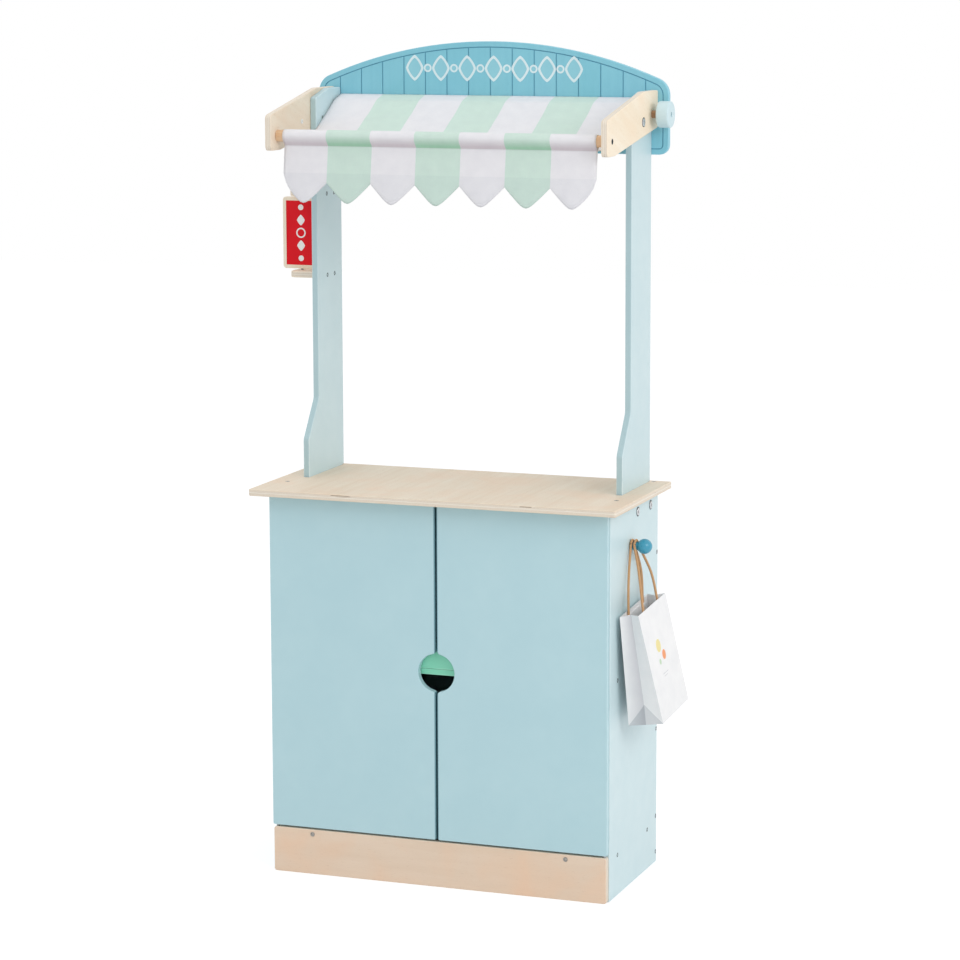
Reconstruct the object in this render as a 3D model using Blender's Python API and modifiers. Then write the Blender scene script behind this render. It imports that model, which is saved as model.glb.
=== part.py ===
"""Play shop and puppet theatre: a cabinet with two doors, a counter, posts, an awning and a curtain roller.

Metres, +X to the right, +Y to the back, +Z up. The origin is the middle of the plinth's underside.
Depths are measured backwards from the door fronts, and drops downwards from the top of the brackets.
"""
import math

import bmesh
import bpy
from mathutils import Matrix, Vector

# Clearances
GAP = 0.0003
SLOT_FRONT_GAP = 0.0025
SHELF_DOOR_GAP = 0.0018
KNOB_BRACKET_GAP = 0.0110

# Cabinet
CABINET_WIDTH = 0.557
CABINET_DEPTH = 0.254
SIDE_THICKNESS = 0.012
BOARD_EDGE = 0.0008
PLINTH_HEIGHT = 0.072
PLINTH_THICKNESS = 0.012
PLINTH_INSET = 0.0015
PLINTH_CORNER = 0.004
BOTTOM_THICKNESS = 0.012
BOTTOM_DROP = 0.0015
SHELF_HEIGHT = 0.345
SHELF_THICKNESS = 0.010
SHELF_RAIL_HEIGHT = 0.050
SHELF_RAIL_THICKNESS = 0.010
SHELF_REBATE = 0.001
BACK_THICKNESS = 0.008
BACK_FOOT = 0.003

# Countertop
COUNTER_HEIGHT = 0.6175
COUNTER_THICKNESS = 0.0105
COUNTER_SIDE_OVERHANG = 0.0215
COUNTER_FRONT_OVERHANG = 0.030
COUNTER_REAR_OVERHANG = 0.003
COUNTER_CORNER = 0.003

# Doors
DOOR_THICKNESS = 0.012
DOOR_FOOT_GAP = 0.0032
DOOR_HEAD_GAP = 0.003
DOOR_MIDDLE_GAP = 0.003
DOOR_CORNER = 0.003
HOLE_HEIGHT = 0.341
HOLE_RADIUS = 0.030
CUSP_RADIUS = 0.006
DOOR_PIN_RADIUS = 0.002
DOOR_PIN_DEPTH = 0.007
MAGNET_RADIUS = 0.0030
MAGNET_LENGTH = 0.008
MAGNET_X = 0.050
STRIKE_RADIUS = 0.006
STRIKE_THICKNESS = 0.001

# Posts, whose heights are above the countertop
POST_HEIGHT = 0.6125
POST_THICKNESS = 0.010
POST_FRONT_DEPTH = 0.1505
POST_REAR_DEPTH = 0.250
POST_TOP_FLAT = 0.045
POST_TOP_DROP = 0.013
POST_REAR_CORNER = 0.003
POST_MIDDLE_CORNER = 0.010
POST_FRONT_CORNER = 0.005
FOOT_REACH = 0.042
FOOT_HEIGHT = 0.0605
FLARE_HEIGHT = 0.061
FLARE_RADIUS = 0.012
TONGUE_LENGTH = 0.041
TONGUE_CORNER = 0.002
TONGUE_BACK_GAP = 0.0015

# Brackets
BRACKET_RISE = 0.001
BRACKET_THICKNESS = 0.010
BRACKET_FRONT_DEPTH = -0.002
BRACKET_FLAT = 0.071
BRACKET_NOSE_DROP = 0.035
BRACKET_FRONT_HEIGHT = 0.0545
BRACKET_REAR_HEIGHT = 0.0573
BRACKET_CHIN = 0.037
BRACKET_CORNER = 0.007

# Front rod, curtain roller and curtain
ROD_RADIUS = 0.009
ROD_DEPTH = 0.022
ROD_DROP = 0.0672
ROLLER_DEPTH = 0.2205
ROLLER_DROP = 0.036
ROLLER_RADIUS = 0.006
KNOB_RADIUS = 0.0205
KNOB_LENGTH = 0.020
KNOB_EDGE = 0.004
KNOB_SOCKET_RADIUS = 0.004
KNOB_SOCKET_DEPTH = 0.004
KNOB_BORE_DEPTH = 0.012
CURTAIN_ROLL_RADIUS = 0.0125
CURTAIN_THICKNESS = 0.0008
CURTAIN_POST_GAP = 0.011
HEM_BAR_RADIUS = 0.005
HEM_BAR_DROP = 0.061
HEM_BAR_REACH = 0.005

# Awning
STRIPE_WIDTH = 0.0725
STRIPE_COUNT = 7
CLOTH_THICKNESS = 0.001
ROOF_REAR_DROP = 0.012
ROOF_HEM = 0.0135
ROOF_SAG = ((0.127, 0.0001), (0.26, 0.0078), (0.355, 0.0116), (0.5, 0.0176), (0.654, 0.0162), (0.832, 0.0103))
SEAM_DROP = 0.0147
NOTCH_LENGTH = 0.057
TONGUE_TIP_LENGTH = 0.0875
TONGUE_ROUNDNESS = 0.22
VALANCE_WAVE = 0.0025
VALANCE_LAP = 0.004
VALANCE_SHARES = (0.0, 0.3, 0.65, 1.0)
ROOF_POINT_STEP = 0.012
STRIP_HEIGHT = 0.013
STRIP_THICKNESS = 0.0015

# Arched board
ARCH_HALF_WIDTH = 0.2935
ARCH_RISE = 0.073
ARCH_DROP = 0.100
ARCH_THICKNESS = 0.010
ARCH_RADIUS = 0.713
ARCH_SHOULDER_RADIUS = 0.0275
ARCH_FOOT_RADIUS = 0.015
BORDER_INSET = 0.009
GROOVE_WIDTH = 0.0016
GROOVE_DEPTH = 0.0013
PLANK_GROOVE_DEPTH = 0.00104
PLANK_WIDTH = 0.0366
PLANK_GROOVES = 15

# Flip sign, whose height is above the countertop
SIGN_HEIGHT = 0.323
SIGN_LENGTH = 0.115
SIGN_WIDTH = 0.0625
SIGN_THICKNESS = 0.0085
SIGN_DEPTH = 0.2046
SIGN_REACH = 0.0403
SIGN_CORNER = 0.005
SIGN_BORDER = 0.0059
SIGN_RECESS = 0.0005
SIGN_PIN_RADIUS = 0.002
SIGN_PIN_REACH = 0.012
HOLDER_LENGTH = 0.0526
HOLDER_WIDTH = 0.050
HOLDER_THICKNESS = 0.010
HOLDER_CORNER = 0.012
HOLDER_POST_CORNER = 0.001
HOLDER_GAP = 0.0025
HOLDER_PIN_DEPTH = 0.007

# Peg, whose drop is below the top of the countertop
PEG_DEPTH = 0.1128
PEG_DROP = 0.0785
PEG_BALL_RADIUS = 0.0118
PEG_BALL_REACH = 0.0225
PEG_SHANK_RADIUS = 0.0065
PEG_TENON_RADIUS = 0.004
PEG_TENON_LENGTH = 0.009

# Paper bag, whose place is measured from the peg's axis on the side panel
BAG_TOP_WIDTH = 0.030
BAG_FOOT_WIDTH = 0.056
BAG_TOP_LENGTH = 0.140
BAG_FOOT_LENGTH = 0.134
BAG_HEIGHT = 0.172
BAG_WALL = 0.001
BAG_MOUTH_TUCK = 0.010
BAG_MIDDLE_TUCK = 0.006
BAG_TOP_REACH = 0.0218
BAG_TOP_DROP = 0.0905
BAG_TOP_SHIFT = -0.0056
BAG_LEAN_OUT = 7.7
BAG_LEAN_BACK = 4.1
HANDLE_RADIUS = 0.0023
HANDLE_BODY_REACH = 0.022
HANDLE_POINT_STEP = 0.006
HANDLE_SPREAD = 0.036

# Where each handle bears on the peg, from the side panel, and the middle of its two legs: to the back and up
# from the peg's axis, with the share of the way from the bag's rim out to the peg
INNER_HANDLE_SEAT = 0.0030
INNER_HANDLE_MIDDLES = ((-0.0300, -0.045, 0.5), (0.0330, -0.045, 0.5))
OUTER_HANDLE_SEAT = 0.0087
OUTER_HANDLE_MIDDLES = ((-0.0250, -0.035, 0.5), (0.0330, -0.045, 0.45))

# Fasteners
SCREW_HEAD_RADIUS = 0.0036
SCREW_HEAD_HEIGHT = 0.0022
SCREW_RADIUS = 0.0018
SCREW_LENGTH = 0.030
SCREW_SOCKET_RADIUS = 0.0013
SCREW_SOCKET_DEPTH = 0.0010
ROD_SCREW_HEAD_RADIUS = 0.0042
BOLT_HEAD_RADIUS = 0.0062
BOLT_HEAD_HEIGHT = 0.0012
BOLT_HEAD_EDGE = 0.0006
BOLT_RADIUS = 0.003
BOLT_SOCKET_RADIUS = 0.0022
BOLT_SOCKET_DEPTH = 0.003
BOLT_END_STOP = 0.0005
POST_BOLT_DEPTHS = (0.149, 0.215)
POST_BOLT_DROP = 0.021
BRACKET_BOLT_DEPTH = 0.1757
BRACKET_BOLT_DROP = 0.046
COUNTER_SCREW_DEPTHS = (0.059, 0.249)
PLINTH_SCREW_X = 0.211
ARCH_SCREW_DROPS = (0.012, 0.045)

# Levels and places that follow from the sizes
SIDE_OUTER = CABINET_WIDTH / 2
SIDE_INNER = SIDE_OUTER - SIDE_THICKNESS
SIDE_MIDDLE = SIDE_OUTER - SIDE_THICKNESS / 2
COUNTER_UNDERSIDE = COUNTER_HEIGHT - COUNTER_THICKNESS
BACK_DEPTH = CABINET_DEPTH - BACK_THICKNESS
BOTTOM_TOP = PLINTH_HEIGHT - BOTTOM_DROP
DOOR_FOOT = PLINTH_HEIGHT + DOOR_FOOT_GAP
DOOR_HEAD = COUNTER_UNDERSIDE - DOOR_HEAD_GAP
DOOR_PIN_X = SIDE_OUTER - DOOR_THICKNESS / 2
POST_OUTER = SIDE_INNER - GAP
POST_INNER = POST_OUTER - POST_THICKNESS
POST_TOP = COUNTER_HEIGHT + POST_HEIGHT
PEG_HEIGHT = COUNTER_HEIGHT - PEG_DROP
TONGUE_FOOT = COUNTER_UNDERSIDE - TONGUE_LENGTH
TONGUE_REAR_DEPTH = BACK_DEPTH - TONGUE_BACK_GAP
FOOT_FRONT_DEPTH = POST_FRONT_DEPTH - FOOT_REACH
BRACKET_TOP = POST_TOP + BRACKET_RISE
BRACKET_INNER = POST_OUTER + GAP
BRACKET_OUTER = BRACKET_INNER + BRACKET_THICKNESS
ROD_HEIGHT = BRACKET_TOP - ROD_DROP
ROLLER_HEIGHT = BRACKET_TOP - ROLLER_DROP
ARCH_FRONT_DEPTH = POST_REAR_DEPTH + GAP
AWNING_HALF = STRIPE_WIDTH * STRIPE_COUNT / 2
CURTAIN_HALF = POST_INNER - CURTAIN_POST_GAP
KNOB_INNER = BRACKET_OUTER + KNOB_BRACKET_GAP
SIGN_X = -(POST_OUTER + SIGN_REACH)
SIGN_FOOT = COUNTER_HEIGHT + SIGN_HEIGHT
SIGN_TOP = SIGN_FOOT + SIGN_LENGTH

# Paints and finishes: red, green and blue from 0 to 255, roughness and metallic
FINISHES = {
    "door_blue": ((172, 207, 216), 0.5, 0.0),
    "post_blue": ((190, 214, 219), 0.5, 0.0),
    "arch_blue": ((118, 186, 203), 0.5, 0.0),
    "knob_blue": ((176, 214, 222), 0.45, 0.0),
    "peg_blue": ((62, 152, 178), 0.35, 0.0),
    "natural_ply": ((231, 212, 184), 0.55, 0.0),
    "shelf_mint": ((125, 200, 170), 0.5, 0.0),
    "inner_board": ((62, 66, 66), 0.7, 0.0),
    "awning_cloth": ((205, 226, 219), 0.9, 0.0),
    "curtain_cloth": ((190, 219, 207), 0.9, 0.0),
    "sign_red": ((206, 24, 36), 0.45, 0.0),
    "white_paper": ((236, 237, 242), 0.7, 0.0),
    "paper_cord": ((186, 136, 92), 0.8, 0.0),
    "steel": ((150, 150, 152), 0.3, 1.0),
}

# Fineness of round shapes: steps round a turned piece, steps along an arc, and points of a fold
ROD_STEPS = 24
TURNED_STEPS = 16
SCREW_STEPS = 12
KNOB_STEPS = 28
KNOB_EDGE_STEPS = 3
PEG_HEAD_STEPS = 12
TUNNEL_STEPS = 18
CORNER_STEPS = 4
BRACKET_CORNER_STEPS = 5
ARCH_FOOT_STEPS = 5
ARCH_SHOULDER_STEPS = 7
ARCH_STEPS = 28
HOLE_STEPS = 20
CUSP_STEPS = 6
SEAT_STEPS = 9
STRIPE_COLUMNS = 6

# Angles in degrees, and the distance within which points are one
BEVEL_ANGLE = 50
SHARP_ANGLE = 35
FLAT_ANGLE = 0.5
SEAT_START = 10
MERGE_DISTANCE = 0.00001

for old in list(bpy.data.objects):
    bpy.data.objects.remove(old, do_unlink=True)

PARTS = bpy.data.collections.new("play_shop_and_puppet_theatre")
CUTTERS = bpy.data.collections.new("cutters")
for collection in (PARTS, CUTTERS):
    bpy.context.scene.collection.children.link(collection)


def behind(depth):
    """World Y of a plane that lies this far behind the door fronts."""
    return depth - PLINTH_THICKNESS / 2


def linear(channel):
    """Linear value of a 0 to 255 colour channel."""
    share = channel / 255
    if share <= 0.04045:
        return share / 12.92
    return ((share + 0.055) / 1.055) ** 2.4


def material(name):
    """The finish of this name, made once."""
    found = bpy.data.materials.get(name)
    if found:
        return found
    colour, roughness, metallic = FINISHES[name]
    made = bpy.data.materials.new(name)
    made.use_nodes = True
    shader = made.node_tree.nodes["Principled BSDF"]
    shader.inputs["Base Color"].default_value = (*(linear(c) for c in colour), 1)
    shader.inputs["Roughness"].default_value = roughness
    shader.inputs["Metallic"].default_value = metallic
    return made


def finished(piece, finish):
    """Puts a piece among the parts, with its own copy of a finish."""
    own = material(finish).copy()
    own.name = piece.name
    piece.data.materials.clear()
    piece.data.materials.append(own)
    for owner in list(piece.users_collection):
        owner.objects.unlink(piece)
    PARTS.objects.link(piece)
    return piece


def as_cutter(piece):
    """Makes a piece a cutter, which isn't a part."""
    piece.hide_render = True
    piece.display_type = "WIRE"
    return piece


def boolean(piece, tool, operation="DIFFERENCE"):
    """Cuts a piece with a cutter, or joins the cutter to it."""
    modifier = piece.modifiers.new(f"{operation.lower()} {tool.name}", "BOOLEAN")
    modifier.operation = operation
    modifier.solver = "EXACT"
    modifier.object = tool
    as_cutter(tool)


def soften(piece, width=BOARD_EDGE, segments=1):
    """Rounds a board's sharp edges."""
    modifier = piece.modifiers.new("soft edges", "BEVEL")
    modifier.width = width
    modifier.segments = segments
    modifier.limit_method = "ANGLE"
    modifier.angle_limit = math.radians(BEVEL_ANGLE)


def smooth(mesh):
    """Shades a round mesh smooth, with its real edges kept sharp."""
    mesh.shade_smooth()
    mesh.set_sharp_from_angle(angle=math.radians(SHARP_ANGLE))


def arc(centre, radius, start, end, steps):
    """Points along an arc from the start to the end angle, in degrees."""
    turns = [math.radians(start + (end - start) * step / steps) for step in range(steps + 1)]
    return [(centre[0] + radius * math.cos(turn), centre[1] + radius * math.sin(turn)) for turn in turns]


def rounded(corners, steps=CORNER_STEPS):
    """Closed outline through (u, v, radius) corners, each rounded by its radius."""
    outline = []
    for index, (u, v, radius) in enumerate(corners):
        corner = Vector((u, v))
        if radius == 0:
            outline.append((u, v))
            continue
        to_last = (Vector(corners[index - 1][:2]) - corner).normalized()
        to_next = (Vector(corners[(index + 1) % len(corners)][:2]) - corner).normalized()
        half = to_last.angle(to_next) / 2
        centre = corner + (to_last + to_next).normalized() * (radius / math.sin(half))
        first = corner + to_last * (radius / math.tan(half)) - centre
        turn = math.pi - 2 * half
        if to_last.x * to_next.y - to_last.y * to_next.x > 0:
            turn = -turn
        for step in range(steps + 1):
            spoke = Matrix.Rotation(turn * step / steps, 2) @ first
            outline.append(tuple(centre + spoke))
    return outline


def box_outline(left, right, low, high, radius):
    """Rectangle with rounded corners."""
    corners = [(left, low, radius), (right, low, radius), (right, high, radius), (left, high, radius)]
    return rounded(corners)


PLANES = {
    "X": Matrix(((0, 0, 1), (1, 0, 0), (0, 1, 0))),
    "Y": Matrix(((1, 0, 0), (0, 0, -1), (0, 1, 0))),
    "Z": Matrix.Identity(3),
}


def meshed(guide):
    """Turns a curve object into a closed mesh object in the same place."""
    bpy.context.view_layer.update()
    graph = bpy.context.evaluated_depsgraph_get()
    mesh = bpy.data.meshes.new_from_object(guide.evaluated_get(graph))
    work = bmesh.new()
    work.from_mesh(mesh)
    bmesh.ops.remove_doubles(work, verts=work.verts, dist=MERGE_DISTANCE)
    bmesh.ops.dissolve_limit(work, angle_limit=math.radians(FLAT_ANGLE), verts=work.verts, edges=work.edges)
    bmesh.ops.recalc_face_normals(work, faces=work.faces)
    work.to_mesh(mesh)
    work.free()
    name = guide.name
    guide.name = name + "_guide"
    piece = bpy.data.objects.new(name, mesh)
    CUTTERS.objects.link(piece)
    piece.matrix_world = guide.matrix_world
    bpy.data.objects.remove(guide, do_unlink=True)
    return piece


def plate(name, plane, outline, low, high, holes=()):
    """Flat board: an outline square to the plane's axis, from the low to the high place along that axis."""
    curve = bpy.data.curves.new(name, "CURVE")
    curve.dimensions = "2D"
    curve.fill_mode = "BOTH"
    curve.extrude = (high - low) / 2
    for loop in (outline, *holes):
        spline = curve.splines.new("POLY")
        spline.points.add(len(loop) - 1)
        for point, (u, v) in zip(spline.points, loop):
            point.co = (u, v, 0, 1)
        spline.use_cyclic_u = True
    guide = bpy.data.objects.new(name, curve)
    CUTTERS.objects.link(guide)
    turned_plane = PLANES[plane].to_4x4()
    place = Vector([(low + high) / 2 if axis == plane else 0 for axis in "XYZ"])
    guide.matrix_world = Matrix.Translation(place) @ turned_plane
    return meshed(guide)


def block(name, low, high):
    """Box between two corners."""
    bpy.ops.mesh.primitive_cube_add(size=1, location=[(a + b) / 2 for a, b in zip(low, high)])
    piece = bpy.context.object
    piece.name = name
    piece.data.transform(Matrix.Diagonal([b - a for a, b in zip(low, high)]).to_4x4())
    for owner in list(piece.users_collection):
        owner.objects.unlink(piece)
    CUTTERS.objects.link(piece)
    return piece


def turned(name, profile, foot, direction, steps=TURNED_STEPS):
    """Turned piece: (radius, height) points from top to bottom, with the heights along the direction."""
    mesh = bpy.data.meshes.new(name)
    edges = [(index, index + 1) for index in range(len(profile) - 1)]
    mesh.from_pydata([(radius, 0, height) for radius, height in profile], edges, [])
    piece = bpy.data.objects.new(name, mesh)
    CUTTERS.objects.link(piece)
    screw = piece.modifiers.new("turning", "SCREW")
    screw.steps = steps
    screw.render_steps = steps
    screw.use_merge_vertices = True
    screw.merge_threshold = MERGE_DISTANCE
    screw.use_smooth_shade = True
    piece.location = foot
    piece.rotation_mode = "QUATERNION"
    piece.rotation_quaternion = Vector(direction).to_track_quat("Z", "Y")
    return piece


def rod(name, radius, start, end, steps=TURNED_STEPS):
    """Plain round bar from start to end."""
    run = Vector(end) - Vector(start)
    return turned(name, [(0, run.length), (radius, run.length), (radius, 0), (0, 0)], start, run, steps)


def drill(name, radius, start, end, *pieces):
    """Drills one straight round hole through the pieces."""
    tool = rod(name, radius, start, end)
    for piece in pieces:
        boolean(piece, tool)


def on_pivot(name, place, *pieces):
    """Parents moving pieces to an empty on their joint's axis."""
    pivot = bpy.data.objects.new(name, None)
    pivot.empty_display_size = 0.02
    pivot.location = place
    PARTS.objects.link(pivot)
    bpy.context.view_layer.update()
    for piece in pieces:
        piece.parent = pivot
        piece.matrix_parent_inverse = pivot.matrix_world.inverted()
    return pivot


def sided(side):
    """The word for a side, -1 or 1."""
    return "left" if side < 0 else "right"


def span(side, inner, outer):
    """Low and high X of a board that lies between two distances from the middle, on one side."""
    return min(side * inner, side * outer), max(side * inner, side * outer)


def screw(name, head, direction, length, head_radius, pieces):
    """Countersunk screw whose head is flush at the head point, with its holes in the pieces that it holds."""
    run = -Vector(direction)
    flat = -GAP
    profile = [
        (0, flat - SCREW_SOCKET_DEPTH), (SCREW_SOCKET_RADIUS, flat - SCREW_SOCKET_DEPTH),
        (SCREW_SOCKET_RADIUS, flat), (head_radius, flat),
        (SCREW_RADIUS, flat - SCREW_HEAD_HEIGHT), (SCREW_RADIUS, -length), (0, -length),
    ]
    piece = turned(name, profile, head, direction, SCREW_STEPS)
    hole = [
        (0, GAP), (head_radius + 2 * GAP, GAP), (head_radius + 2 * GAP, flat),
        (SCREW_RADIUS + GAP, flat - SCREW_HEAD_HEIGHT), (SCREW_RADIUS + GAP, -length - GAP),
        (0, -length - GAP),
    ]
    tool = turned(name + "_hole", hole, head, direction, SCREW_STEPS)
    for held in pieces:
        boolean(held, tool)
    return finished(piece, "steel")


def bolt(name, head, direction, length, pieces):
    """Ring-headed bolt whose head lies on a surface, with its holes in the pieces that it clamps."""
    profile = [
        (0, BOLT_HEAD_HEIGHT - BOLT_SOCKET_DEPTH), (BOLT_SOCKET_RADIUS, BOLT_HEAD_HEIGHT - BOLT_SOCKET_DEPTH),
        (BOLT_SOCKET_RADIUS, BOLT_HEAD_HEIGHT), (BOLT_HEAD_RADIUS - BOLT_HEAD_EDGE, BOLT_HEAD_HEIGHT),
        (BOLT_HEAD_RADIUS, BOLT_HEAD_HEIGHT - BOLT_HEAD_EDGE), (BOLT_HEAD_RADIUS, GAP),
        (BOLT_RADIUS, GAP), (BOLT_RADIUS, -length), (0, -length),
    ]
    piece = turned(name, profile, head, direction)
    away = Vector(head) + Vector(direction) * GAP
    end = Vector(head) - Vector(direction) * (length + BOLT_END_STOP)
    drill(name + "_hole", BOLT_RADIUS + GAP, away, end, *pieces)
    return finished(piece, "steel")


def side_panels():
    """Side panels, which stand on the floor behind the doors and the plinth."""
    panels = {}
    outline = box_outline(behind(DOOR_THICKNESS + GAP), behind(CABINET_DEPTH), 0, COUNTER_UNDERSIDE - GAP, 0)
    for side in (-1, 1):
        panel = plate("side_panel_" + sided(side), "X", outline, *span(side, SIDE_INNER, SIDE_OUTER))
        soften(panel)
        panels[side] = finished(panel, "post_blue")
    return panels


def plinth():
    """Front board under the doors."""
    half = SIDE_OUTER - PLINTH_INSET
    outline = box_outline(-half, half, 0, PLINTH_HEIGHT, PLINTH_CORNER)
    board = plate("plinth", "Y", outline, behind(0), behind(PLINTH_THICKNESS))
    soften(board)
    return finished(board, "natural_ply")


def inner_boards():
    """Bottom panel, middle shelf with its front rail, and back panel, which lie between the side panels."""
    half = SIDE_INNER - GAP
    shelf_front = behind(DOOR_THICKNESS + SHELF_DOOR_GAP)
    bottom = block(
        "bottom_panel",
        (-half, behind(PLINTH_THICKNESS + GAP), BOTTOM_TOP - BOTTOM_THICKNESS),
        (half, behind(BACK_DEPTH - GAP), BOTTOM_TOP),
    )
    shelf = block(
        "middle_shelf",
        (-half, shelf_front, SHELF_HEIGHT - SHELF_THICKNESS),
        (half, behind(BACK_DEPTH - GAP), SHELF_HEIGHT),
    )
    rail = block(
        "shelf_rail",
        (-half, shelf_front, SHELF_HEIGHT - SHELF_REBATE + GAP),
        (half, shelf_front + SHELF_RAIL_THICKNESS, SHELF_HEIGHT + SHELF_RAIL_HEIGHT),
    )
    back = block(
        "back_panel",
        (-half, behind(BACK_DEPTH), BACK_FOOT),
        (half, behind(CABINET_DEPTH), COUNTER_UNDERSIDE - GAP),
    )
    for board in (bottom, shelf, rail, back):
        soften(board, BOARD_EDGE / 2)
    rebate = block(
        "rail_rebate",
        (-SIDE_OUTER, shelf_front - SHELF_RAIL_THICKNESS, SHELF_HEIGHT - SHELF_REBATE),
        (SIDE_OUTER, shelf_front + SHELF_RAIL_THICKNESS + GAP, SHELF_HEIGHT + SHELF_THICKNESS),
    )
    boolean(shelf, rebate)
    finished(rail, "shelf_mint")
    finished(back, "post_blue")
    return finished(bottom, "inner_board"), finished(shelf, "shelf_mint")


def countertop():
    """Countertop with a slot for each post."""
    half = SIDE_OUTER + COUNTER_SIDE_OVERHANG
    front = behind(-COUNTER_FRONT_OVERHANG)
    rear = behind(CABINET_DEPTH + COUNTER_REAR_OVERHANG)
    outline = box_outline(-half, half, front, rear, COUNTER_CORNER)
    top = plate("countertop", "Z", outline, COUNTER_UNDERSIDE, COUNTER_HEIGHT)
    soften(top)
    for side in (-1, 1):
        left, right = span(side, POST_INNER - GAP, POST_OUTER + GAP)
        slot = block(
            "slot_" + sided(side),
            (left, behind(FOOT_FRONT_DEPTH - SLOT_FRONT_GAP), COUNTER_UNDERSIDE - COUNTER_THICKNESS),
            (right, behind(TONGUE_REAR_DEPTH + BOARD_EDGE + GAP), COUNTER_HEIGHT + COUNTER_THICKNESS),
        )
        boolean(top, slot)
    return finished(top, "natural_ply")


def posts():
    """Posts with a flared foot and a tongue that goes down through the countertop."""
    flare_foot = COUNTER_HEIGHT + FOOT_HEIGHT
    outline = rounded([
        (behind(FOOT_FRONT_DEPTH), TONGUE_FOOT, TONGUE_CORNER),
        (behind(TONGUE_REAR_DEPTH), TONGUE_FOOT, TONGUE_CORNER),
        (behind(TONGUE_REAR_DEPTH), COUNTER_HEIGHT + GAP, 0),
        (behind(POST_REAR_DEPTH), COUNTER_HEIGHT + GAP, 0),
        (behind(POST_REAR_DEPTH), POST_TOP, POST_REAR_CORNER),
        (behind(POST_REAR_DEPTH - POST_TOP_FLAT), POST_TOP, POST_MIDDLE_CORNER),
        (behind(POST_FRONT_DEPTH), POST_TOP - POST_TOP_DROP, POST_FRONT_CORNER),
        (behind(POST_FRONT_DEPTH), flare_foot + FLARE_HEIGHT, FLARE_RADIUS),
        (behind(FOOT_FRONT_DEPTH), flare_foot, FLARE_RADIUS),
    ])
    made = {}
    for side in (-1, 1):
        post = plate("post_" + sided(side), "X", outline, *span(side, POST_INNER, POST_OUTER))
        soften(post)
        made[side] = finished(post, "post_blue")
    return made


def brackets():
    """Sloping brackets that carry the front rod and the roller, on the posts' outer faces."""
    nose = behind(BRACKET_FRONT_DEPTH)
    nose_top = BRACKET_TOP - BRACKET_NOSE_DROP
    nose_foot = nose_top - BRACKET_FRONT_HEIGHT
    rear = behind(POST_REAR_DEPTH)
    outline = rounded([
        (nose, nose_foot, BRACKET_CORNER),
        (nose + BRACKET_CHIN, nose_foot, BRACKET_CORNER),
        (rear, BRACKET_TOP - BRACKET_REAR_HEIGHT, BRACKET_CORNER / 2),
        (rear, BRACKET_TOP, BRACKET_CORNER / 2),
        (rear - BRACKET_FLAT, BRACKET_TOP, BRACKET_CORNER),
        (nose, nose_top, BRACKET_CORNER),
    ], BRACKET_CORNER_STEPS)
    made = {}
    for side in (-1, 1):
        bracket = plate("bracket_" + sided(side), "X", outline, *span(side, BRACKET_INNER, BRACKET_OUTER))
        soften(bracket)
        made[side] = finished(bracket, "natural_ply")
    return made


def arch_outline(inset):
    """The arched board's outline, moved inwards by an inset."""
    half = ARCH_HALF_WIDTH - inset
    foot = BRACKET_TOP - ARCH_DROP + inset
    radius = ARCH_RADIUS - inset
    shoulder = ARCH_SHOULDER_RADIUS - inset
    centre = BRACKET_TOP + ARCH_RISE - ARCH_RADIUS
    shoulder_x = half - shoulder
    shoulder_z = centre + math.sqrt((radius - shoulder) ** 2 - shoulder_x ** 2)
    lean = math.degrees(math.atan2(shoulder_z - centre, shoulder_x))
    foot_radius = ARCH_FOOT_RADIUS - inset
    outline = arc((half - foot_radius, foot + foot_radius), foot_radius, -90, 0, ARCH_FOOT_STEPS)
    outline += arc((shoulder_x, shoulder_z), shoulder, 0, lean, ARCH_SHOULDER_STEPS)
    outline += arc((0, centre), radius, lean, 180 - lean, ARCH_STEPS)[1:-1]
    outline += arc((-shoulder_x, shoulder_z), shoulder, 180 - lean, 180, ARCH_SHOULDER_STEPS)
    outline += arc((-half + foot_radius, foot + foot_radius), foot_radius, 180, 270, ARCH_FOOT_STEPS)
    return outline


def arched_board():
    """Arched board behind the posts, with plank grooves inside a border groove."""
    front = behind(ARCH_FRONT_DEPTH)
    board = plate("arched_board", "Y", arch_outline(0), front, front + ARCH_THICKNESS)
    soften(board)
    half_groove = GROOVE_WIDTH / 2
    border = plate(
        "border_groove", "Y", arch_outline(BORDER_INSET - half_groove), front - GAP, front + GROOVE_DEPTH,
        [arch_outline(BORDER_INSET + half_groove)],
    )
    centre = BRACKET_TOP + ARCH_RISE - ARCH_RADIUS
    low = BRACKET_TOP - ARCH_DROP + BORDER_INSET
    tool = bmesh.new()
    for index in range(PLANK_GROOVES):
        x = (index - (PLANK_GROOVES - 1) / 2) * PLANK_WIDTH
        high = centre + math.sqrt((ARCH_RADIUS - BORDER_INSET) ** 2 - x ** 2)
        size = Vector((GROOVE_WIDTH, PLANK_GROOVE_DEPTH + GAP, high - low))
        middle = Vector((x, front - GAP + size.y / 2, (low + high) / 2))
        place = Matrix.Translation(middle) @ Matrix.Diagonal(size).to_4x4()
        bmesh.ops.create_cube(tool, size=1, matrix=place)
    mesh = bpy.data.meshes.new("plank_grooves")
    tool.to_mesh(mesh)
    tool.free()
    grooves = bpy.data.objects.new("plank_grooves", mesh)
    CUTTERS.objects.link(grooves)
    boolean(grooves, border, "UNION")
    boolean(board, grooves)
    return finished(board, "arch_blue")


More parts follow.
